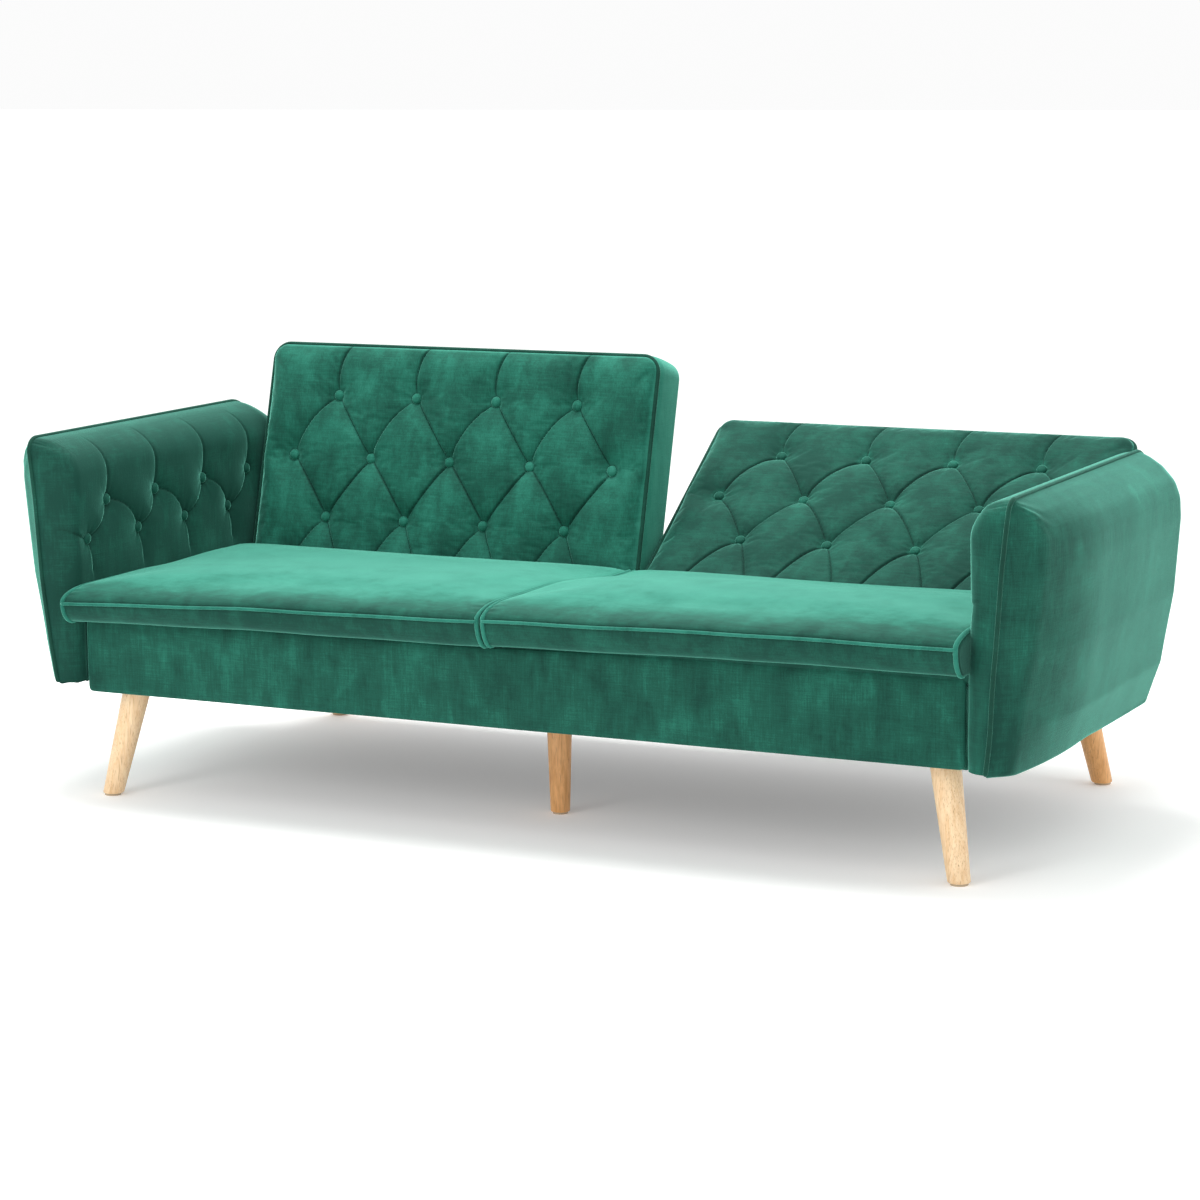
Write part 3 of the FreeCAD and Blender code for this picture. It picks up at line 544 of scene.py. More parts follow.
backLook = {
    "tuftSpacing": 179 * mm, "rows": ((345 * mm, 4), (220 * mm, 5), (97 * mm, 4)),
    "crown": 16 * mm, "edgeRoll": 24 * mm, "fullness": 9 * mm,
    "topCorner": 34 * mm, "lowCorner": 15 * mm, "grid": 4 * mm,
    "nap": {"left": 0.05, "right": -0.1}, "sidePaintedLight": 0.3,   # painted sheen and shade: each panel and its boxing made lighter or darker for how light falls on it
    "sideSwell": 2.0 * mm, "rearRound": 5 * mm, "pressure": 3.0, "cap": 6 * mm, "grow": 0.008,
    "piping": 4.2 * mm, "buttonHold": 9 * mm, "pleatHold": 3.5 * mm,      # where cloth is sewn down
    "uneven": 0.9 * mm, "unevenSize": 90 * mm,
    "plainRim": 18 * mm, "fullWidth": 200 * mm, "rearSink": 3 * mm, "boxingRings": 22,
    # cut-outs of the rear for the hinges: half the way between them, room, reach, height
    "hingeSplit": 300 * mm, "besideHinge": 4 * mm, "slotFront": -24 * mm, "slotTop": 27 * mm,
}


# Matrix from a back's own axes (x, depth, height from the pin) to the part's frame.
def backFrame(side):
    hinge = hinges[side + "_back_recline"]
    recline = math.radians(90 - hinge["range_deg"][1])
    return Matrix.Translation(Vector(hinge["pos_m"])) @ Matrix.Rotation(-recline, 4, "X")


# Points of the part's frame in a back's own axes, with x counted outwards.
def inBack(points, side):
    back = np.array(backFrame(side).inverted())
    local = points @ back[:3, :3].T + back[:3, 3]
    local[:, 0] *= sides[side]
    return local


panelPoints = inBack(nodePoints("right_back_cushion"), "right")
panelLow, panelHigh = panelPoints.min(0), panelPoints.max(0)
pipePoints = inBack(nodePoints("right_back_piping"), "right")
rimDepth = (pipePoints[:, 1].min() + pipePoints[:, 1].max()) / 2


def backButtons():
    middle = (panelLow[0] + panelHigh[0]) / 2
    places = []
    for up, count in backLook["rows"]:
        places.append([(middle + (k - (count - 1) / 2) * backLook["tuftSpacing"], up)
                       for k in range(count)])
    return places


# Fold lines between the buttons; the ones that fall to the viewer's left bow upwards.
def backPleats(side):
    top, mid, low = backButtons()
    way = sides[side]
    bowed, straight = (0, 1) if way > 0 else (1, 0)
    lines = []
    for k in range(4):
        lines.append(curvedLine(top[k], mid[k + bowed], -0.07 * way))
        lines.append(curvedLine(top[k], mid[k + straight], 0.02 * way))
        lines.append(curvedLine(low[k], mid[k + bowed], -0.04 * way))
        lines.append(curvedLine(low[k], mid[k + straight], -0.01 * way))
        crest = (top[k][0] + 20 * mm * way, panelHigh[2] - 2 * mm)
        lines.append(curvedLine(top[k], crest, 0.1 * way))
        foot = panelLow[2] + 20 * mm
        lines.append(curvedLine(low[k], (low[k][0] - 80 * mm * way, foot), -0.05 * way))
        lines.append(curvedLine(low[k], (low[k][0] + 52 * mm * way, foot), 0.03 * way))
    return lines


# One back cushion in its own axes: tufted face, boxed sides and a flat rear.
def backShape(side):
    look = backLook
    inset = look["piping"]
    low = (panelLow[0] + inset, panelLow[2] + inset)
    high = (panelHigh[0] - inset, panelHigh[2] - inset)
    flat, edge, rows, cols = roundedGrid(low, high, (look["lowCorner"] - inset,
                                                     look["topCorner"] - inset), look["grid"])
    buttons = [b for row in backButtons() for b in row]
    lines = backPleats(side)
    roll = np.clip(edge / look["edgeRoll"], 0, 1)
    rise = look["crown"] * np.sqrt(1 - (1 - roll) ** 2)
    fuller = look["fullness"] * np.sqrt(np.clip(edge / look["fullWidth"], 0, 1))
    sunk = tuftSoft(flat, buttons, lines, tuftLook) * np.clip(edge / look["plainRim"], 0, 1)
    depth = rimDepth - rise - fuller + sunk
    points = np.stack([flat[:, 0], depth, flat[:, 1]], 1)
    face = makePiece("backFace", points, gridFaces(rows, cols))
    toLine, _ = nearestOnLines(flat, lines)
    toButton, _, _ = nearestButton(flat, buttons)
    held = (edge < 4 * mm) | (toButton < look["buttonHold"]) | (toLine < look["pleatHold"])
    puffed = puff(face, held, look["pressure"], look["cap"], look["grow"])
    bpy.data.objects.remove(face)
    # the boxing goes back from the face's border, then the flat rear closes it
    loop = edgeLoop(rows, cols)
    border = puffed[loop]
    centre = (puffed[:, 0].mean(), 0, puffed[:, 2].mean())
    rearDepth = panelHigh[1]
    rings, count = [], look["boxingRings"]
    outward = border - centre
    outward[:, 1] = 0
    corner = np.abs(outward) - (np.abs(outward).max(0) - look["topCorner"])
    outward = np.sign(outward) * np.where(corner > 0, corner, 0) + 1e-6 * outward
    outward[:, 1] = 0
    outward /= np.linalg.norm(outward, axis=1, keepdims=True)
    for k in range(1, count + 1):
        t = k / count
        depth = rimDepth + (rearDepth - rimDepth) * t
        toRear = rearDepth - depth
        swell = look["sideSwell"] * math.sin(math.pi * t) + inset * min(1.0, t * 6)
        ring = border + outward * swell
        if toRear < look["rearRound"]:
            left = 1 - toRear / look["rearRound"]
            ring = ring - outward * look["rearRound"] * (1 - math.sqrt(max(0, 1 - left ** 2)))
        ring[:, 1] = depth
        rings.append(ring)
    rear = np.array(puffed)
    # the cloth lies a little lower under the rear panel
    rear[:, 1] = np.where(edge > 9 * mm, rearDepth - look["rearSink"], rearDepth)
    rear[loop] = rings.pop()
    start = len(puffed)
    faces = gridFaces(rows, cols)
    n = len(loop)
    ids = [loop] + [list(range(start + k * n, start + (k + 1) * n)) for k in range(count - 1)]
    inner = start + (count - 1) * n
    ids.append([inner + i for i in loop])
    for a, b in zip(ids, ids[1:]):
        for k in range(n):
            m = (k + 1) % n
            faces.append((a[m], a[k], b[k], b[m]))
    faces += gridFaces(rows, cols, inner, flip=True)
    piece = makePiece("backShape", np.vstack([puffed, *rings, rear]), faces)
    subdivide(piece)
    return piece, buttons, lines


# Opens the rear of a cushion for the hinges, where the CAD cushion is open for them.
def cutSlots(piece, side):
    look = backLook
    metal = np.vstack([nodePoints(node) for node in ("hinge_plates", "hinge_pins")])
    across = np.abs(metal[np.sign(metal[:, 0]) == sides[side], 0])
    for hinge in (across[across < look["hingeSplit"]], across[across > look["hingeSplit"]]):
        xs = (hinge.min() - look["besideHinge"], hinge.max() + look["besideHinge"])
        ys = (look["slotFront"], panelHigh[1] + 20 * mm)
        zs = (panelLow[2] - 20 * mm, look["slotTop"])
        box = [(x, y, z) for x in xs for y in ys for z in zs]
        faces = [(0, 1, 3, 2), (4, 6, 7, 5), (0, 4, 5, 1), (2, 3, 7, 6), (0, 2, 6, 4), (1, 5, 7, 3)]
        cutter = makePiece("cutter", box, faces)
        cut = piece.modifiers.new("slot", "BOOLEAN")
        cut.operation, cut.solver, cut.object = "DIFFERENCE", "EXACT", cutter
        applyAll(piece)
        bpy.data.objects.remove(cutter)


def placeBack(piece, side):
    setOnSide(piece, meshPoints(piece), sides[side])
    piece.data.transform(backFrame(side))
    piece.data.update()


# Centre line of the cord round a back's face.
def pipingLoop():
    inset = backLook["piping"] - 1 * mm
    low = (panelLow[0] + inset, panelLow[2] + inset)
    high = (panelHigh[0] - inset, panelHigh[2] - inset)
    flat, _, rows, cols = roundedGrid(low, high, (backLook["lowCorner"], backLook["topCorner"]),
                                      3 * mm)
    flat = flat[edgeLoop(rows, cols)]
    line = np.stack([flat[:, 0], np.full(len(flat), rimDepth), flat[:, 1]], 1)
    return evenly(line, 4 * mm, closed=True)


# Points and faces of one cloth-covered button with a few folds at its rim.
def coveredButton(centre, way, radius, height, seed):
    way = Vector(way).normalized()
    side = way.orthogonal().normalized()
    up = way.cross(side)
    rng = np.random.default_rng(seed)
    phase = rng.uniform(0, 6.28)
    profile = ((0.72, -0.9), (0.98, -0.35), (1.0, 0.0), (0.95, 0.35), (0.82, 0.66),
               (0.6, 0.86), (0.32, 0.97))
    around = 28
    points, faces = [], []
    for wide, high in profile:
        for k in range(around):
            turn = 2 * math.pi * k / around
            fold = 1 + 0.025 * math.cos(turn * 9 + phase) * max(0, wide - 0.6)
            out = radius * wide * fold
            points.append(tuple(Vector(centre) + side * out * math.cos(turn)
                                + up * out * math.sin(turn) + way * height * high))
    points.append(tuple(Vector(centre) + way * height))
    faces += gridFaces(len(profile), around, wrap=True)
    last = (len(profile) - 1) * around
    faces += [(last + k, last + (k + 1) % around, len(points) - 1) for k in range(around)]
    faces.append(tuple(reversed(range(around))))
    return points, faces


def buttonSet(name, places, radius, height):
    points, faces = [], []
    for seed, (centre, way) in enumerate(places):
        more, quads = coveredButton(centre, way, radius, height, seed)
        faces += [tuple(i + len(points) for i in q) for q in quads]
        points += more
    return makePiece(name, points, faces)


# a button stands this much off the cloth it draws in, and is painted paler as a highlight on its dome
buttonLook = {"radius": 11 * mm, "height": 8 * mm, "stand": 0.8 * mm, "nap": 0.08}

# One back: its cushion with the fine tufting, its covered buttons and its cord.
def makeBack(side, way):
    cushion, backButtonPlaces, backLines = backShape(side)
    cushion.name = side + "BackCushion"
    local = meshPoints(cushion)
    flat = local[:, [0, 2]]
    down, crease = tuftFine(flat, backButtonPlaces, backLines, tuftLook, 11 + way)
    front = local[:, 1] < rimDepth - 3 * mm
    near = np.clip((rimDepth - 3 * mm - local[:, 1]) / (8 * mm), 0, 1)      # the tufted face
    uneven = waves(local, backLook["unevenSize"], 5 + way) * backLook["uneven"]
    local[:, 1] += np.where(front, (down + uneven) * near, 0)
    floor = []
    for b in backButtonPlaces:
        gap = np.linalg.norm(flat - b, axis=1) + np.where(front, 0, far)
        floor.append(local[gap.argmin(), 1])
    setPoints(cushion, local)
    # painted shade in the face's folds, round its buttons and in its valleys
    mark(cushion, "crease", np.where(front, crease, 0))
    # painted sheen and shade: the tufted face set by side, the boxing lighter
    mark(cushion, "nap", backLook["nap"][side] * near + backLook["sidePaintedLight"] * (1 - near))
    cutSlots(cushion, side)
    placeBack(cushion, side)
    giveTo(cushion, side + "_back", "velvet", emeraldVelvet, side + "_back_cushion")
    places = [((b[0], depth - buttonLook["stand"], b[1]), (0, -1, 0))
              for b, depth in zip(backButtonPlaces, floor)]
    buttons = buttonSet(side + "BackButtons", places, buttonLook["radius"], buttonLook["height"])
    # painted highlight: the buttons a little lighter than their panel
    mark(buttons, "nap", buttonLook["nap"] + backLook["nap"][side])
    placeBack(buttons, side)
    giveTo(buttons, side + "_back", "velvet", emeraldVelvet, side + "_back_buttons")
    cord = tube(side + "BackPiping", pipingLoop(), backLook["piping"], closed=True)
    placeBack(cord, side)
    giveTo(cord, side + "_back", "piping_velvet", pipingVelvet, side + "_back_piping")


for side, way in sides.items():
    makeBack(side, way)
print("backs made")


seatLook = {
    "crown": 32 * mm, "roll": 85 * mm, "endRoll": 50 * mm, "endFullness": 0.68,
    "rearFall": 26 * mm,
    # painted sheen and shade: the top lighter, the nose and the lip darker
    "nap": {"lip": -0.11, "nose": -0.07, "top": 0.24},
    "lipLow": 358 * mm, "seam": 409 * mm, "grid": 7 * mm, "pressure": 2.0, "cap": 8 * mm,
    "piping": 4.2 * mm, "middleGap": 1.5 * mm, "drawn": 190, "bending": 8.0, "even": 60,
    "spine": 385 * mm, "lipRound": 36 * mm, "lipFoot": 42 * mm, "tuck": 12 * mm,
    "hangFrom": 0.3, "hangTo": 0.56,      # how far back the front edge's hang fades out
    "uneven": 1.2 * mm, "unevenSize": 300 * mm, "seamShade": 0.6, "endShade": 0.7,
    "shadeWidth": 3 * mm, "gather": 1.1 * mm, "gatherFrom": 12 * mm, "gatherWidth": 14 * mm,
    # how far the front edge hangs or rises along the sofa: place and shift
    "hang": ((-885, -24), (-500, -10), (0, 1), (430, 12), (885, 13)),
}
seatLow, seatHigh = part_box("right_seat_cushion")
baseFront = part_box("front_cover")[0].y


# Side outline of a seat cushion at a distance from its nearer end, from rear to underside.
def seatOutline(toEnd):
    look = seatLook
    ease = math.sqrt(max(0.0, 1 - (1 - min(1.0, toEnd / look["endRoll"])) ** 2))
    ease = look["endFullness"] + (1 - look["endFullness"]) * ease
    rim, front, rear = look["seam"], seatLow.y + 4 * mm, seatHigh.y
    line = [(rear, seatLow.z), (rear + 1 * mm, (seatLow.z + rim) / 2), (rear, rim - 4 * mm)]
    depth = rear - front
    for k in range(1, 60):
        inside = depth * (1 - k / 60) ** 1.7     # distance back from the nose
        noseRise = math.sqrt(1 - (1 - min(1, inside / look["roll"])) ** 2)
        rearRise = math.sqrt(1 - (1 - min(1, (depth - inside) / (24 * mm))) ** 2)
        fall = look["rearFall"] * eased(inside, 0.25, 0.58)
        line.append((front + inside, rim - 4 * mm * (1 - rearRise)
                     + (look["crown"] * ease * noseRise - fall) * rearRise))
    line.append((front, rim))
    low = look["lipLow"]
    for k in range(1, 10):
        turn = math.pi / 2 * k / 10
        line.append((front + look["lipRound"] * (1 - math.cos(turn)),
                     rim - (rim - low) * math.sin(turn)))
    tucked = baseFront + look["tuck"]
    line += [(front + look["lipFoot"], low), (baseFront - 1 * mm, low), (tucked, seatLow.z)]
    line += [(tucked + (rear - tucked) * k / 30, seatLow.z) for k in range(1, 30)]
    return np.array(line)


def seatShape():
    look = seatLook
    x0, x1, around = look["middleGap"], seatHigh.x, look["drawn"]
    cols = int((x1 - x0) / look["grid"]) + 1
    rings = []
    for x in np.linspace(x0, x1, cols):
        outline = evenly(seatOutline(min(x - x0, x1 - x)), count=around, closed=True)
        rings.append(np.column_stack([np.full(around, x), outline]))
    points, faces = list(np.vstack(rings)), gridFaces(cols, around, wrap=True)
    for end, flip in ((0, False), (cols - 1, True)):      # an end closes on a line along its middle
        ring = rings[end]
        spine = ring.copy()
        spine[:, 1] = np.clip(ring[:, 1], seatLow.y + 30 * mm, seatHigh.y - 26 * mm)
        spine[:, 2] = look["spine"]
        before = list(range(end * around, (end + 1) * around))
        for k in range(1, 5):
            t = k / 4
            here = ring * (1 - t) + spine * t
            start = len(points)
            points += list(here)
            now = list(range(start, start + around))
            for j in range(around):
                m = (j + 1) % around
                quad = (before[j], before[m], now[m], now[j])
                faces.append(quad[::-1] if not flip else quad)
            before = now
    piece = makePiece("seatShape", np.array(points), faces)
    piece.modifiers.new("weld", "WELD").merge_threshold = 0.5 * mm
    applyAll(piece)
    points = meshPoints(piece)
    toEnd = np.minimum(points[:, 0] - x0, x1 - points[:, 0])
    under = (points[:, 2] < look["lipLow"] + 1 * mm) & (points[:, 1] > baseFront - 5 * mm)
    onSeam = (np.abs(points[:, 2] - look["seam"]) < 5 * mm) & (points[:, 1] < seatLow.y + 5 * mm)
    onEnd = toEnd < 1 * mm
    rear = points[:, 1] > seatHigh.y - 3 * mm
    puff(piece, under | onSeam | onEnd | rear, look["pressure"], look["cap"],
         bending=look["bending"], even=look["even"])
    subdivide(piece)
    return piece


# A line over a finished cushion at one x, from its rear top over the nose to underneath.
def seatPath(x):
    keep = seatOutline(0.0)[2:73]
    line = np.column_stack([np.full(len(keep), x), keep])
    return evenly(line, 4 * mm)


# The seat as it lies: a little lower at one end and uneven along its lip.
def droop(points, side):
    look = seatLook
    x = points[:, 0]
    front = 1 - eased(points[:, 1] - seatLow.y, look["hangFrom"], look["hangTo"])
    over = np.where(points[:, 1] > baseFront, np.clip((points[:, 2] - seatLow.z) / 0.03, 0, 1), 1)
    hang = np.array(look["hang"]) * mm
    slope = np.interp(x, hang[:, 0], hang[:, 1])
    below = np.clip((look["seam"] - points[:, 2]) / (look["seam"] - look["lipLow"]), 0, 1)
    slope = np.where(slope < 0, slope * (1 - 0.5 * below), slope)
    wavy = 0.7 * mm * np.sin(x * 9.0 + 0.6 + sides[side]) + 0.5 * mm * np.sin(x * 23.0)
    moved = points.copy()
    moved[:, 2] += (slope + wavy) * front * over
    return moved


# One seat cushion, hung as it lies, with the cords at its ends and along its nose.
def makeSeat(side, way):
    cushion = copyOf(seatMaster, side + "SeatCushion")
    points = meshPoints(cushion)
    toEnd = np.minimum(points[:, 0] - seatLook["middleGap"], seatHigh.x - points[:, 0])
    look = seatLook
    nose = np.exp(-np.maximum(points[:, 1] - seatLow.y, 0) / 0.05)
    angle = np.arctan2(points[:, 2] - look["spine"], -(points[:, 1] - seatLow.y - 0.03))
    atEnd = np.exp(-((toEnd - look["gatherFrom"]) / look["gatherWidth"]) ** 2)
    gathers = np.cos(angle * 17) * atEnd * look["gather"] * nose
    over = eased(points[:, 2], look["seam"], look["seam"] + 15 * mm)
    uneven = waves(points, look["unevenSize"], 40 + way) * look["uneven"]
    points[:, 2] += uneven * over + gathers
    points[:, 0] *= way
    setPoints(cushion, droop(points, side))
    if way < 0:
        cushion.data.flip_normals()
    # painted shade along the nose seam and at the cushion's ends
    onSeam = np.exp(-np.abs(points[:, 2] - look["seam"]) / look["shadeWidth"])
    onSeam *= points[:, 1] < seatLow.y + 10 * mm
    onEnd = np.exp(-toEnd / look["shadeWidth"])
    mark(cushion, "crease", np.maximum(look["seamShade"] * onSeam, look["endShade"] * onEnd))
    # painted sheen and shade: the top lighter, the nose and the lip darker
    nap = look["nap"]
    back = eased(points[:, 1] - seatLow.y, 5 * mm, 120 * mm)
    onTop = nap["nose"] + (nap["top"] - nap["nose"]) * back
    mark(cushion, "nap", np.where(points[:, 2] > seatLook["seam"], onTop, nap["lip"]))
    giveTo(cushion, "base", "velvet", emeraldVelvet, side + "_seat_cushion")
    cords = []
    reach = seatLook["piping"]
    for x in (seatLook["middleGap"] + reach, seatHigh.x - reach - 1 * mm):
        path = seatPath(x)
        path[:, 0] *= way
        path[:, 2] += 1.0 * mm
        cords.append(tube("cord", droop(path, side), reach))
    front = np.array([(x, seatLow.y + 0.5 * mm, seatLook["seam"])
                      for x in np.linspace(seatLook["middleGap"] + reach, seatHigh.x - reach, 60)])
    front[:, 0] *= way
    cords.append(tube("cord", droop(evenly(front, 5 * mm), side), reach * 0.7))
    cord = merged(side + "SeatPiping", cords)
    # painted highlight: the seat's cords a little lighter
    mark(cord, "nap", 0.1)
    giveTo(cord, "base", "piping_velvet", paintedLitSeatPipingVelvet, "seat_piping")


seatMaster = seatShape()
seatMaster.name = "seatMaster"
for side, way in sides.items():
    makeSeat(side, way)
bpy.data.objects.remove(seatMaster)
print("seat made")


armLook = {
    "frontRoll": 34 * mm, "topRoll": 70 * mm, "corner": 25 * mm, "grid": 5 * mm,
    "seam": ((212, 919), (290, 931), (420, 945), (560, 954), (620, 960), (655, 964), (680, 965)),
    "piping": 4.2 * mm, "cordOut": 1 * mm,
    "rows": ((552 * mm, (103, 269, 441, 606)), (485 * mm, (36, 207, 371, 530))),
    # height, bevel between the front seam and the ridge, half width of the outer side
    "shell": ((212, 34, 975), (290, 38, 1003), (420, 46, 1024), (560, 50, 1034),
              (600, 48, 1032), (630, 42, 1022), (655, 28, 1003), (670, 12, 985), (680, 1.5, 966)),
    "swellDepth": 290 * mm, "rearRound": 42 * mm, "ridgeRound": 16 * mm,
    "shellDrawn": 210, "rearFall": 26 * mm, "undersideTurn": 8 * mm,
    "pressure": 2.5, "cap": 4 * mm, "grow": 0.01, "swell": 5 * mm,
    "softShare": 0.55, "fineShare": 0.6,      # an arm is tufted less deeply than a back
    # how each arm sits on its bolts: up, and its seam and its outer side outwards
    "sit": {"left": (7 * mm, 3 * mm, 15 * mm), "right": (-11 * mm, -10 * mm, 0.0)},
    "nap": {"left": (-0.16, 0.05), "right": (-0.05, -0.07)},      # painted sheen and shade of the inner pad and of the outer shell
}
padLow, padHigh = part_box("right_arm_pad")
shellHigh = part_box("right_arm_shell")[1]
seamTop = padHigh.z + armLook["piping"] * 0.5
seamFront = padLow.y - armLook["piping"] * 0.5


# Half width of the front seam at a height.
def seamX(z):
    line = np.array(armLook["seam"]) * mm
    return np.interp(z, line[:, 0], line[:, 1])


# Height of the top seam: level, then falling a little towards the rear.
def topZ(y):
    t = np.clip((y - (padHigh.y - 60 * mm)) / (60 * mm), 0, 1)
    return seamTop - armLook["rearFall"] * t ** 1.7


# Distances along the cloth of an arm's pad: from its front seam and from its top seam.
def armGrid(step):
    low, high = (seamFront, padLow.z), (padHigh.y, seamTop)
    nu = int((high[0] - low[0]) / step) + 1
    nv = int((high[1] - low[1]) / step) + 1
    s, t = np.meshgrid(np.linspace(0, high[0] - low[0], nu), np.linspace(high[1] - low[1], 0, nv))
    return s.ravel(), t.ravel(), nv, nu


# Points of the inner pad from their distances along the cloth.
def padSurface(s, t):
    look = armLook
    frontCloth, topCloth = 1.25 * look["frontRoll"], 1.1 * look["topRoll"]      # round the rolls
    f = np.minimum(s / frontCloth, 1) * math.pi / 2
    g = np.minimum(t / topCloth, 1) * math.pi / 2
    alongY = look["frontRoll"] * (1 - np.cos(f)) + np.maximum(s - frontCloth, 0)
    downZ = look["topRoll"] * (1 - np.cos(g)) + np.maximum(t - topCloth, 0)
    r = look["corner"]
    near = (alongY < r) & (downZ < r)
    a, b = np.where(near, r - alongY, 0), np.where(near, r - downZ, 0)
    most, length = np.maximum(a, b), np.maximum(np.hypot(a, b), 1e-9)
    alongY = np.where(near, r - a * most / length, alongY)
    downZ = np.where(near, r - b * most / length, downZ)
    y = seamFront + np.minimum(alongY, padHigh.y - seamFront)
    z = np.maximum(topZ(y) - downZ, padLow.z)
    x = padLow.x + (seamX(z) - padLow.x) * (1 - np.sin(f) * np.sin(g))
    return x, y, z


armZero = padLow.y + 28 * mm      # face of the base, from which the buttons' depths count
armRows = [[(armZero + d * mm, z) for d in depths] for z, depths in armLook["rows"]]


def armPleats():
    upper, lower = armRows
    lines = []
    for k in range(4):
        lines.append(curvedLine(upper[k], lower[k], 0.12))
        if k < 3:
            lines.append(curvedLine(upper[k], lower[k + 1], 0.13))
        crest = (upper[k][0] - 12 * mm, seamTop - 8 * mm)
        lines.append(curvedLine(upper[k], crest, -0.05))
        lines.append(curvedLine(lower[k], (lower[k][0] + 7 * mm, 0.425), 0.05))
    lines.append(curvedLine(lower[0], (seamFront + 6 * mm, lower[0][1] + 26 * mm), 0.04))
    return lines


def armPadShape():
    look = armLook
    s, t, rows, cols = armGrid(look["grid"])
    x, y, z = padSurface(s, t)
    flat = np.stack([y, z], 1)
    buttons = [b for row in armRows for b in row]
    lines = armPleats()
    inside = np.clip(np.minimum(s, t) / (30 * mm), 0, 1)
    sunk = look["softShare"] * tuftSoft(flat, buttons, lines, tuftLook) * inside
    x = x - (look["swell"] * inside - sunk) * np.clip((1 - (x - padLow.x) / 0.04), 0, 1)
    piece = makePiece("armPadShape", np.stack([x, y, z], 1), gridFaces(rows, cols, flip=True))
    toLine, _ = nearestOnLines(flat, lines)
    toButton, _, _ = nearestButton(flat, buttons)
    edge = np.minimum(np.minimum(s, t), np.minimum(padHigh.y - y, z - padLow.z))
    held = (edge < 3 * mm) | (toButton < backLook["buttonHold"]) | (toLine < backLook["pleatHold"])
    puff(piece, held, look["pressure"], look["cap"], look["grow"])
    subdivide(piece)
    return piece, buttons, lines


# The share of the top seam's fall that reaches down to a height.
def topFall(z):
    return np.clip((z - 0.5) / 0.18, 0, 1)


# How far the front lies behind its seam line where the top front corner is rounded.
def cornerSetback(z):
    r = armLook["corner"]
    above = np.clip(z - (seamTop - r), 0, r)
    return r - math.sqrt(max(r * r - above * above, 0))


# Plan outline of the outer shell at a height: seam, bevel, ridge, swelling side, rear.
def shellOutline(z):
    look = armLook
    heights = np.array(look["shell"]) * mm
    bevel = float(np.interp(z, heights[:, 0], heights[:, 1]))
    outer = float(np.interp(z, heights[:, 0], heights[:, 2]))
    seam, front, rear = float(seamX(z)), seamFront + cornerSetback(z) + 1 * mm, shellHigh.y
    start = np.array([seam, front])
    knee = start + np.array([bevel, bevel * 0.9])
    outer = max(outer, knee[0] + 1 * mm)
    swell = front + look["swellDepth"]
    side = []
    for t in np.linspace(0, 1, 24)[1:]:
        side.append(np.array([outer - (outer - knee[0]) * (1 - t) ** 2,
                              knee[1] + (swell - knee[1]) * t]))
    bend = min(look["ridgeRound"], bevel * 0.6)
    way = (knee - start) / max(np.linalg.norm(knee - start), 1e-6)
    on = (side[1] - knee) / np.linalg.norm(side[1] - knee)
    before, after = knee - way * bend, knee + on * bend
    line = [start + (before - start) * q for q in np.linspace(0, 1, 8)]
    line += [before * (1 - q) ** 2 + 2 * knee * q * (1 - q) + after * q ** 2
             for q in np.linspace(0.12, 1, 8)]
    line += [point for point in side if point[1] > after[1] + 4 * mm]
    turn = min(look["rearRound"], max(outer - seam, 4 * mm))
    line += [np.array([outer, swell + (rear - turn - swell) * q]) for q in np.linspace(0.03, 1, 30)]
    line += [np.array([outer - turn * (1 - math.cos(q)), rear - turn * (1 - math.sin(q))])
             for q in np.linspace(0.15, math.pi / 2, 9)]
    fallen = (seamTop - topZ(rear)) * (1 - topFall(z))
    under = np.clip((seamTop - z - fallen) / look["topRoll"], 0, 1)
    inner = padLow.x + (seam - padLow.x) * (1 - math.sqrt(1 - (1 - under) ** 2))
    line += [np.array([outer - turn + (inner - outer + turn) * q, rear])
             for q in np.linspace(0.1, 1, 12)]
    return np.array(line)


def armShellShape():
    count, fall = armLook["shellDrawn"], armLook["rearFall"]
    rings = []
    foot = padLow.z + armLook["undersideTurn"]
    heights = list(np.arange(foot, seamTop - fall, 7 * mm))
    heights += list(seamTop - fall * (1 - np.linspace(0, 1, 14)[:-1]) ** 1.6)
    base = evenly(shellOutline(foot), count=count, toEnd=False)
    away = base - np.array([0.925, (seamFront + shellHigh.y) / 2])
    away /= np.linalg.norm(away, axis=1, keepdims=True)
    # the underside turns in and closes against the frame
    for drop, inset in ((8, 34), (8, 16), (6.5, 6.5), (2.5, 2)):
        rings.append(np.column_stack([base - away * inset * mm,
                                      np.full(count, foot - drop * mm)]))
    for z in heights:
        line = evenly(shellOutline(z), count=count, toEnd=False)
        fallen = (seamTop - topZ(line[:, 1])) * topFall(z)
        rings.append(np.column_stack([line, z - fallen]))
    lowest = rings[0].copy()
    lowest[:, 0] = padLow.x + 15 * mm
    lowest[:, 1] = np.clip(lowest[:, 1], seamFront + 30 * mm, shellHigh.y - 20 * mm)
    rings.insert(0, lowest)
    piece = makePiece("armShellShape", np.vstack(rings), gridFaces(len(rings), count))
    subdivide(piece)
    return piece


# The cord's line: up the front seam, round the corner and back along the top.
def armSeamPath():
    r = armLook["corner"]
    line = [(float(seamX(z)), seamFront, z) for z in np.linspace(padLow.z + 6 * mm, seamTop - r, 30)]
    for q in np.linspace(0, math.pi / 2, 9)[1:]:
        z = seamTop - r + r * math.sin(q)
        line.append((float(seamX(z)), seamFront + r - r * math.cos(q), z))
    for y in np.linspace(seamFront + r + 0.02, padHigh.y, 50):
        z = float(topZ(np.array(y)))
        line.append((float(seamX(seamTop)), y, z))
    return evenly(np.array(line), 4 * mm)


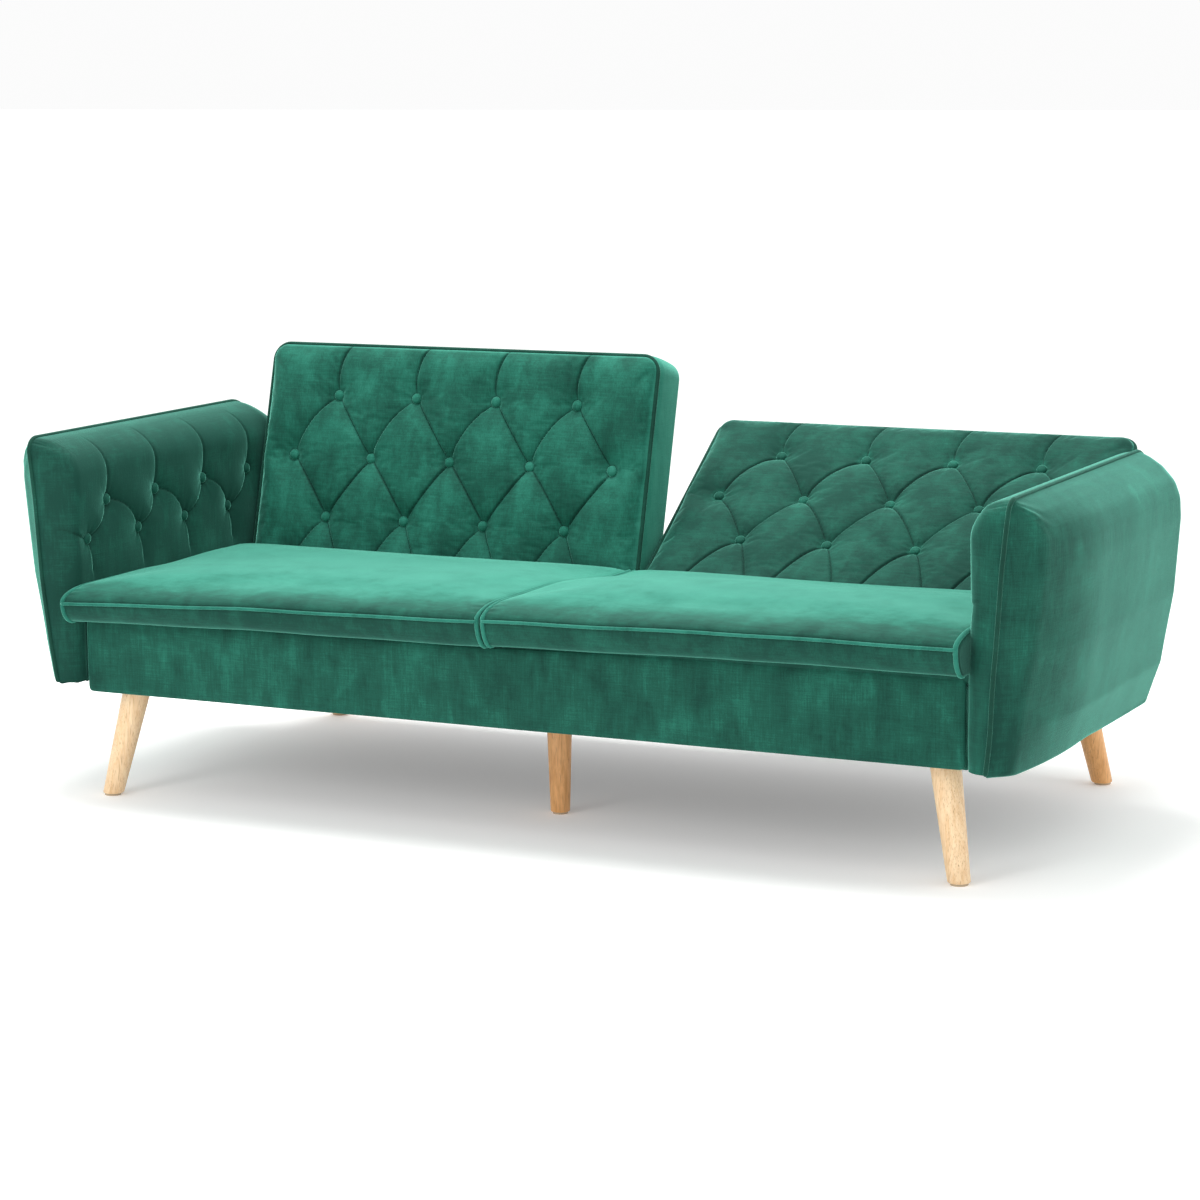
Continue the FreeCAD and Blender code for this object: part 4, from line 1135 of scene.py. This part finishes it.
# Points of an arm, x counted outwards, where this side's arm sits.
def settled(points, side):
    up, seam, outer = armLook["sit"][side]
    moved = np.array(points, float)
    x, z = moved[:, 0].copy(), moved[:, 2].copy()
    high = eased(z, 0.2, 0.42)
    out = eased(x, padLow.x, padLow.x + 45 * mm)
    past = eased(x, 0.965, 1.03)
    moved[:, 0] = x + high * out * (seam + (outer - seam) * past)
    moved[:, 2] = z + up
    return moved


# The tufted inner pad of one arm; gives the places of its buttons.
def makeArmPad(side, way):
    pad = copyOf(armPadMaster, side + "ArmPad")
    points = meshPoints(pad)
    flat = points[:, 1:]
    down, crease = tuftFine(flat, armButtonPlaces, armLines, tuftLook, 21 + way)
    inner = np.clip(1 - (points[:, 0] - padLow.x) / 0.05, 0, 1)
    cornerGap = np.hypot(points[:, 1] - seamFront - 0.01, points[:, 2] - seamTop + 0.01)
    turn = np.arctan2(points[:, 2] - seamTop + 0.03, -(points[:, 1] - seamFront - 0.03))
    gathers = np.cos(turn * 26) * np.exp(-(cornerGap / 0.032) ** 2) * 1.6 * mm
    floor = [points[np.linalg.norm(flat - np.array(b), axis=1).argmin(), 0]
             for b in armButtonPlaces]
    uneven = waves(points, 0.08, 60 + way) * 0.8 * mm * inner
    points[:, 0] += armLook["fineShare"] * down * inner + uneven + gathers
    setOnSide(pad, settled(points, side), way)
    edge = [(way * (padLow.x - 4.7 * mm), baseFront + 7 * mm, z)
            for z in np.linspace(padLow.z + 12 * mm, 352 * mm, 24)]
    bead = tube("bead", edge, 4.6 * mm)      # the pad's turned-in edge, beside the base
    spare = len(bead.data.vertices)
    pad = merged(side + "ArmPad", [pad, bead])
    # painted shade in the pad's folds and round its buttons, and over the bead beside the base
    mark(pad, "crease", np.concatenate([0.8 * crease * inner, np.full(spare, 0.3)]))
    # painted sheen and shade of this arm's inner pad
    mark(pad, "nap", armLook["nap"][side][0])
    giveTo(pad, "base", "velvet", emeraldVelvet, side + "_arm_pad")
    seats = settled([(x - buttonLook["stand"], b[0], b[1])
                     for b, x in zip(armButtonPlaces, floor)], side)
    return [((way * x, y, z), (-way, 0, 0)) for x, y, z in seats]


# The outer shell of one arm and the cord in its seam.
def makeArmShell(side, way):
    shell = copyOf(armShellMaster, side + "ArmShell")
    points = meshPoints(shell)
    outward = np.clip((points[:, 0] - 0.93) / 0.05, 0, 1)
    points[:, 0] += waves(points, 0.3, 80 + way) * 0.7 * mm * outward
    fan = np.arctan2(seamTop - points[:, 2] + 4 * mm, points[:, 1] - seamFront + 4 * mm)
    near = np.hypot(points[:, 1] - seamFront - 30 * mm, points[:, 2] - seamTop + 25 * mm)
    gathers = np.sin(fan * 24) * np.exp(-(near / 0.04) ** 2)
    points[:, 0] += gathers * 0.8 * mm * np.clip((points[:, 0] - 0.966) / 0.012, 0, 1)
    setOnSide(shell, settled(points, side), way)
    # painted sheen and shade of this arm's outer shell
    mark(shell, "nap", armLook["nap"][side][1])
    giveTo(shell, "base", "velvet", emeraldVelvet, side + "_arm_shell")
    path = settled(cordPath + np.array([armLook["cordOut"], 0, 0]), side)
    path[:, 0] *= way
    cord = tube(side + "ArmPiping", path, armLook["piping"])
    giveTo(cord, "base", "piping_velvet", pipingVelvet, side + "_arm_piping")


armPadMaster, armButtonPlaces, armLines = armPadShape()
armShellMaster = armShellShape()
cordPath = armSeamPath()
allArmButtons = []
for side, way in sides.items():
    allArmButtons += makeArmPad(side, way)
    makeArmShell(side, way)
buttons = buttonSet("armButtons", allArmButtons, buttonLook["radius"], buttonLook["height"])
# painted highlight: the arm buttons a little lighter than their pad
mark(buttons, "nap", buttonLook["nap"] + armLook["nap"]["left"][0])
giveTo(buttons, "base", "velvet", emeraldVelvet, "arm_buttons")
bpy.data.objects.remove(armPadMaster)
bpy.data.objects.remove(armShellMaster)
print("arms made")


# A thin padded board: a box with rolled edges and a slightly uneven cloth face.
def clothBoard(name, low, high, roll, seed, slack):
    size = [high[k] - low[k] for k in range(3)]
    steps = [max(2, int(round(s / 0.012))) for s in size]
    points, faces = [], []
    for axis in range(3):
        u, v = [k for k in range(3) if k != axis]
        for end in (0, 1):
            start = len(points)
            for i in range(steps[u] + 1):
                for j in range(steps[v] + 1):
                    p = [0, 0, 0]
                    p[axis] = high[axis] if end else low[axis]
                    p[u] = low[u] + size[u] * i / steps[u]
                    p[v] = low[v] + size[v] * j / steps[v]
                    points.append(p)
            flip = (end == 1) ^ (axis == 1)
            faces += gridFaces(steps[u] + 1, steps[v] + 1, start, flip=flip)
    points = np.array(points)
    low, high = np.array(low), np.array(high)
    inner = np.clip(points, low + roll, high - roll)
    away = points - inner
    length = np.linalg.norm(away, axis=1, keepdims=True)
    points = np.where(length > 1e-9, inner + away / np.maximum(length, 1e-9) * roll, points)
    piece = makePiece(name, points, [f[::-1] for f in faces])
    piece.modifiers.new("weld", "WELD").merge_threshold = 0.1 * mm
    applyAll(piece)
    points = meshPoints(piece)
    points[:, 1] += waves(points, 0.2, seed) * slack
    setPoints(piece, points)
    subdivide(piece)
    return piece


coverLook = {"edge": 5.5 * mm, "slack": 0.8 * mm, "rise": 6 * mm, "nap": -0.03}

for node, seed in (("front_cover", 3), ("rear_cover", 4)):
    low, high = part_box(node)
    board = clothBoard(node.replace("_cover", "PanelCloth"), (low.x, low.y, low.z),
                       (high.x, high.y, high.z), coverLook["edge"], seed, coverLook["slack"])
    # painted shade: the panels a little darker than the rest of the cloth
    mark(board, "nap", coverLook["nap"])
    if node == "front_cover":      # its top edge goes up to the lip of the seat
        points = meshPoints(board)
        hang = np.array(seatLook["hang"]) * mm
        rise = coverLook["rise"] + np.maximum(np.interp(points[:, 0], hang[:, 0], hang[:, 1]), 0)
        points[:, 2] += rise * eased(points[:, 2], (low.z + high.z) / 2, high.z)
        setPoints(board, points)
    giveTo(board, "base", "velvet", emeraldVelvet, node)
print("base covers made")


legLook = {"around": 40, "edge": 2.0 * mm}


# A tapered leg with softened ends, from the CAD leg's lowest and highest rings.
def turnedLeg(name, node):
    points = nodePoints(node)
    low, high = points[:, 2].min(), points[:, 2].max()
    foot = points[points[:, 2] < low + 0.5 * mm]
    top = points[points[:, 2] > high - 0.5 * mm]
    ends = []
    for ring in (foot, top):
        centre = (ring.min(0) + ring.max(0)) / 2
        ends.append((centre, (ring.max(0) - ring.min(0))[:2] / 2))
    (footAt, footR), (topAt, topR) = ends
    edge = legLook["edge"] / (high - low)
    stations = [(0, 0.86), (edge * 0.3, 0.95), (edge, 1.0)]
    stations += [(t, 1.0) for t in np.linspace(0.05, 0.97, 24)] + [(1.0, 1.0)]
    rings = []
    for t, grow in stations:
        centre = footAt + (topAt - footAt) * t
        radius = (footR + (topR - footR) * t) * grow
        turns = np.linspace(0, 2 * math.pi, legLook["around"], endpoint=False)
        rings.append(np.column_stack([centre[0] + radius[0] * np.cos(turns),
                                      centre[1] + radius[1] * np.sin(turns),
                                      np.full(len(turns), centre[2])]))
    around = legLook["around"]
    faces = gridFaces(len(rings), around, wrap=True)
    faces.append(tuple(reversed(range(around))))
    faces.append(tuple(range((len(rings) - 1) * around, len(rings) * around)))
    return makePiece(name, np.vstack(rings), faces)


for node in ("front_left_leg", "front_right_leg", "rear_left_leg", "rear_right_leg",
             "centre_leg"):
    words = node.split("_")
    name = words[0] + "".join(w.capitalize() for w in words[1:])
    # painted shade: the legs under the sofa get the darker copy
    wood = paleLegWood if node.startswith("front") else paintedShadeLegWood
    giveTo(turnedLeg(name, node), "base", "leg_wood", wood, node)
print("legs made")


roomLook = {
    "floor": "#fbfbfa", "glow": 0.2, "world": "#ffffff", "worldStrength": 0.97,
    "lights": {      # place, target, size, watts
        "topSoftbox": ((-0.4, 0.2, 3.6), (0, 0, 0.4), 2.4, 140),
        "sideSoftbox": ((2.9, 0.2, 1.3), (1.0, 0, 0.5), 1.2, 6),
        "frontSoftbox": ((-1.4, -4.4, 2.6), (0, 0, 0.4), 1.6, 42),
    },
}


def plainFloor():
    floor = makePiece("studioFloor", [(-60, -60, 0), (60, -60, 0), (60, 60, 0), (-60, 60, 0)],
                      [(0, 1, 2, 3)])
    material, tree, place = newMaterial("paleFloor")
    mottle = addNode(tree, "ShaderNodeTexNoise", {"Scale": 2.0}, [("Vector", place)])
    rough = addNode(tree, "ShaderNodeMapRange", {"To Min": 0.75, "To Max": 0.9},
                    [("Value", mottle.outputs["Fac"])])
    tone = toLinear(roomLook["floor"])
    addSurface(tree, {"Base Color": tone, "Emission Color": tone,
                      "Emission Strength": roomLook["glow"]}, [("Roughness", rough.outputs[0])])
    floor.data.materials.append(material)


def areaLight(name, place, target, size, watts):
    data = bpy.data.lights.new(name, "AREA")
    data.shape, data.size, data.energy = "DISK", size, watts
    light = bpy.data.objects.new(name, data)
    light.location = place
    light.rotation_euler = (Vector(target) - Vector(place)).to_track_quat("-Z", "Y").to_euler()
    bpy.context.scene.collection.objects.link(light)


plainFloor()
for name, light in roomLook["lights"].items():
    areaLight(name, *light)
world = bpy.data.worlds.new("studioWorld")
world.use_nodes = True
sky = world.node_tree.nodes["Background"].inputs
sky["Color"].default_value = toLinear(roomLook["world"])
sky["Strength"].default_value = roomLook["worldStrength"]
bpy.context.scene.world = world
bpy.context.scene.view_settings.view_transform = "Standard"

cameraLook = {"place": (2.679, -5.108, 1.403), "turn": 25.86, "down": 9.52, "roll": -0.5,
              "lens": 99.3}
cameraData = bpy.data.cameras.new("camera")
cameraData.lens, cameraData.sensor_width = cameraLook["lens"], 36.0
camera = bpy.data.objects.new("camera", cameraData)
x, y, z = cameraLook["place"]
turn, down, roll = (math.radians(cameraLook[key]) for key in ("turn", "down", "roll"))
camera.matrix_world = (Matrix.Translation((x, y + baseFront, z))   # depth from the base's face
                       @ Matrix.Rotation(turn, 4, "Z")
                       @ Matrix.Rotation(math.pi / 2 - down, 4, "X")
                       @ Matrix.Rotation(roll, 4, "Z"))
bpy.context.scene.collection.objects.link(camera)
bpy.context.scene.camera = camera
print("room, lights and camera made")
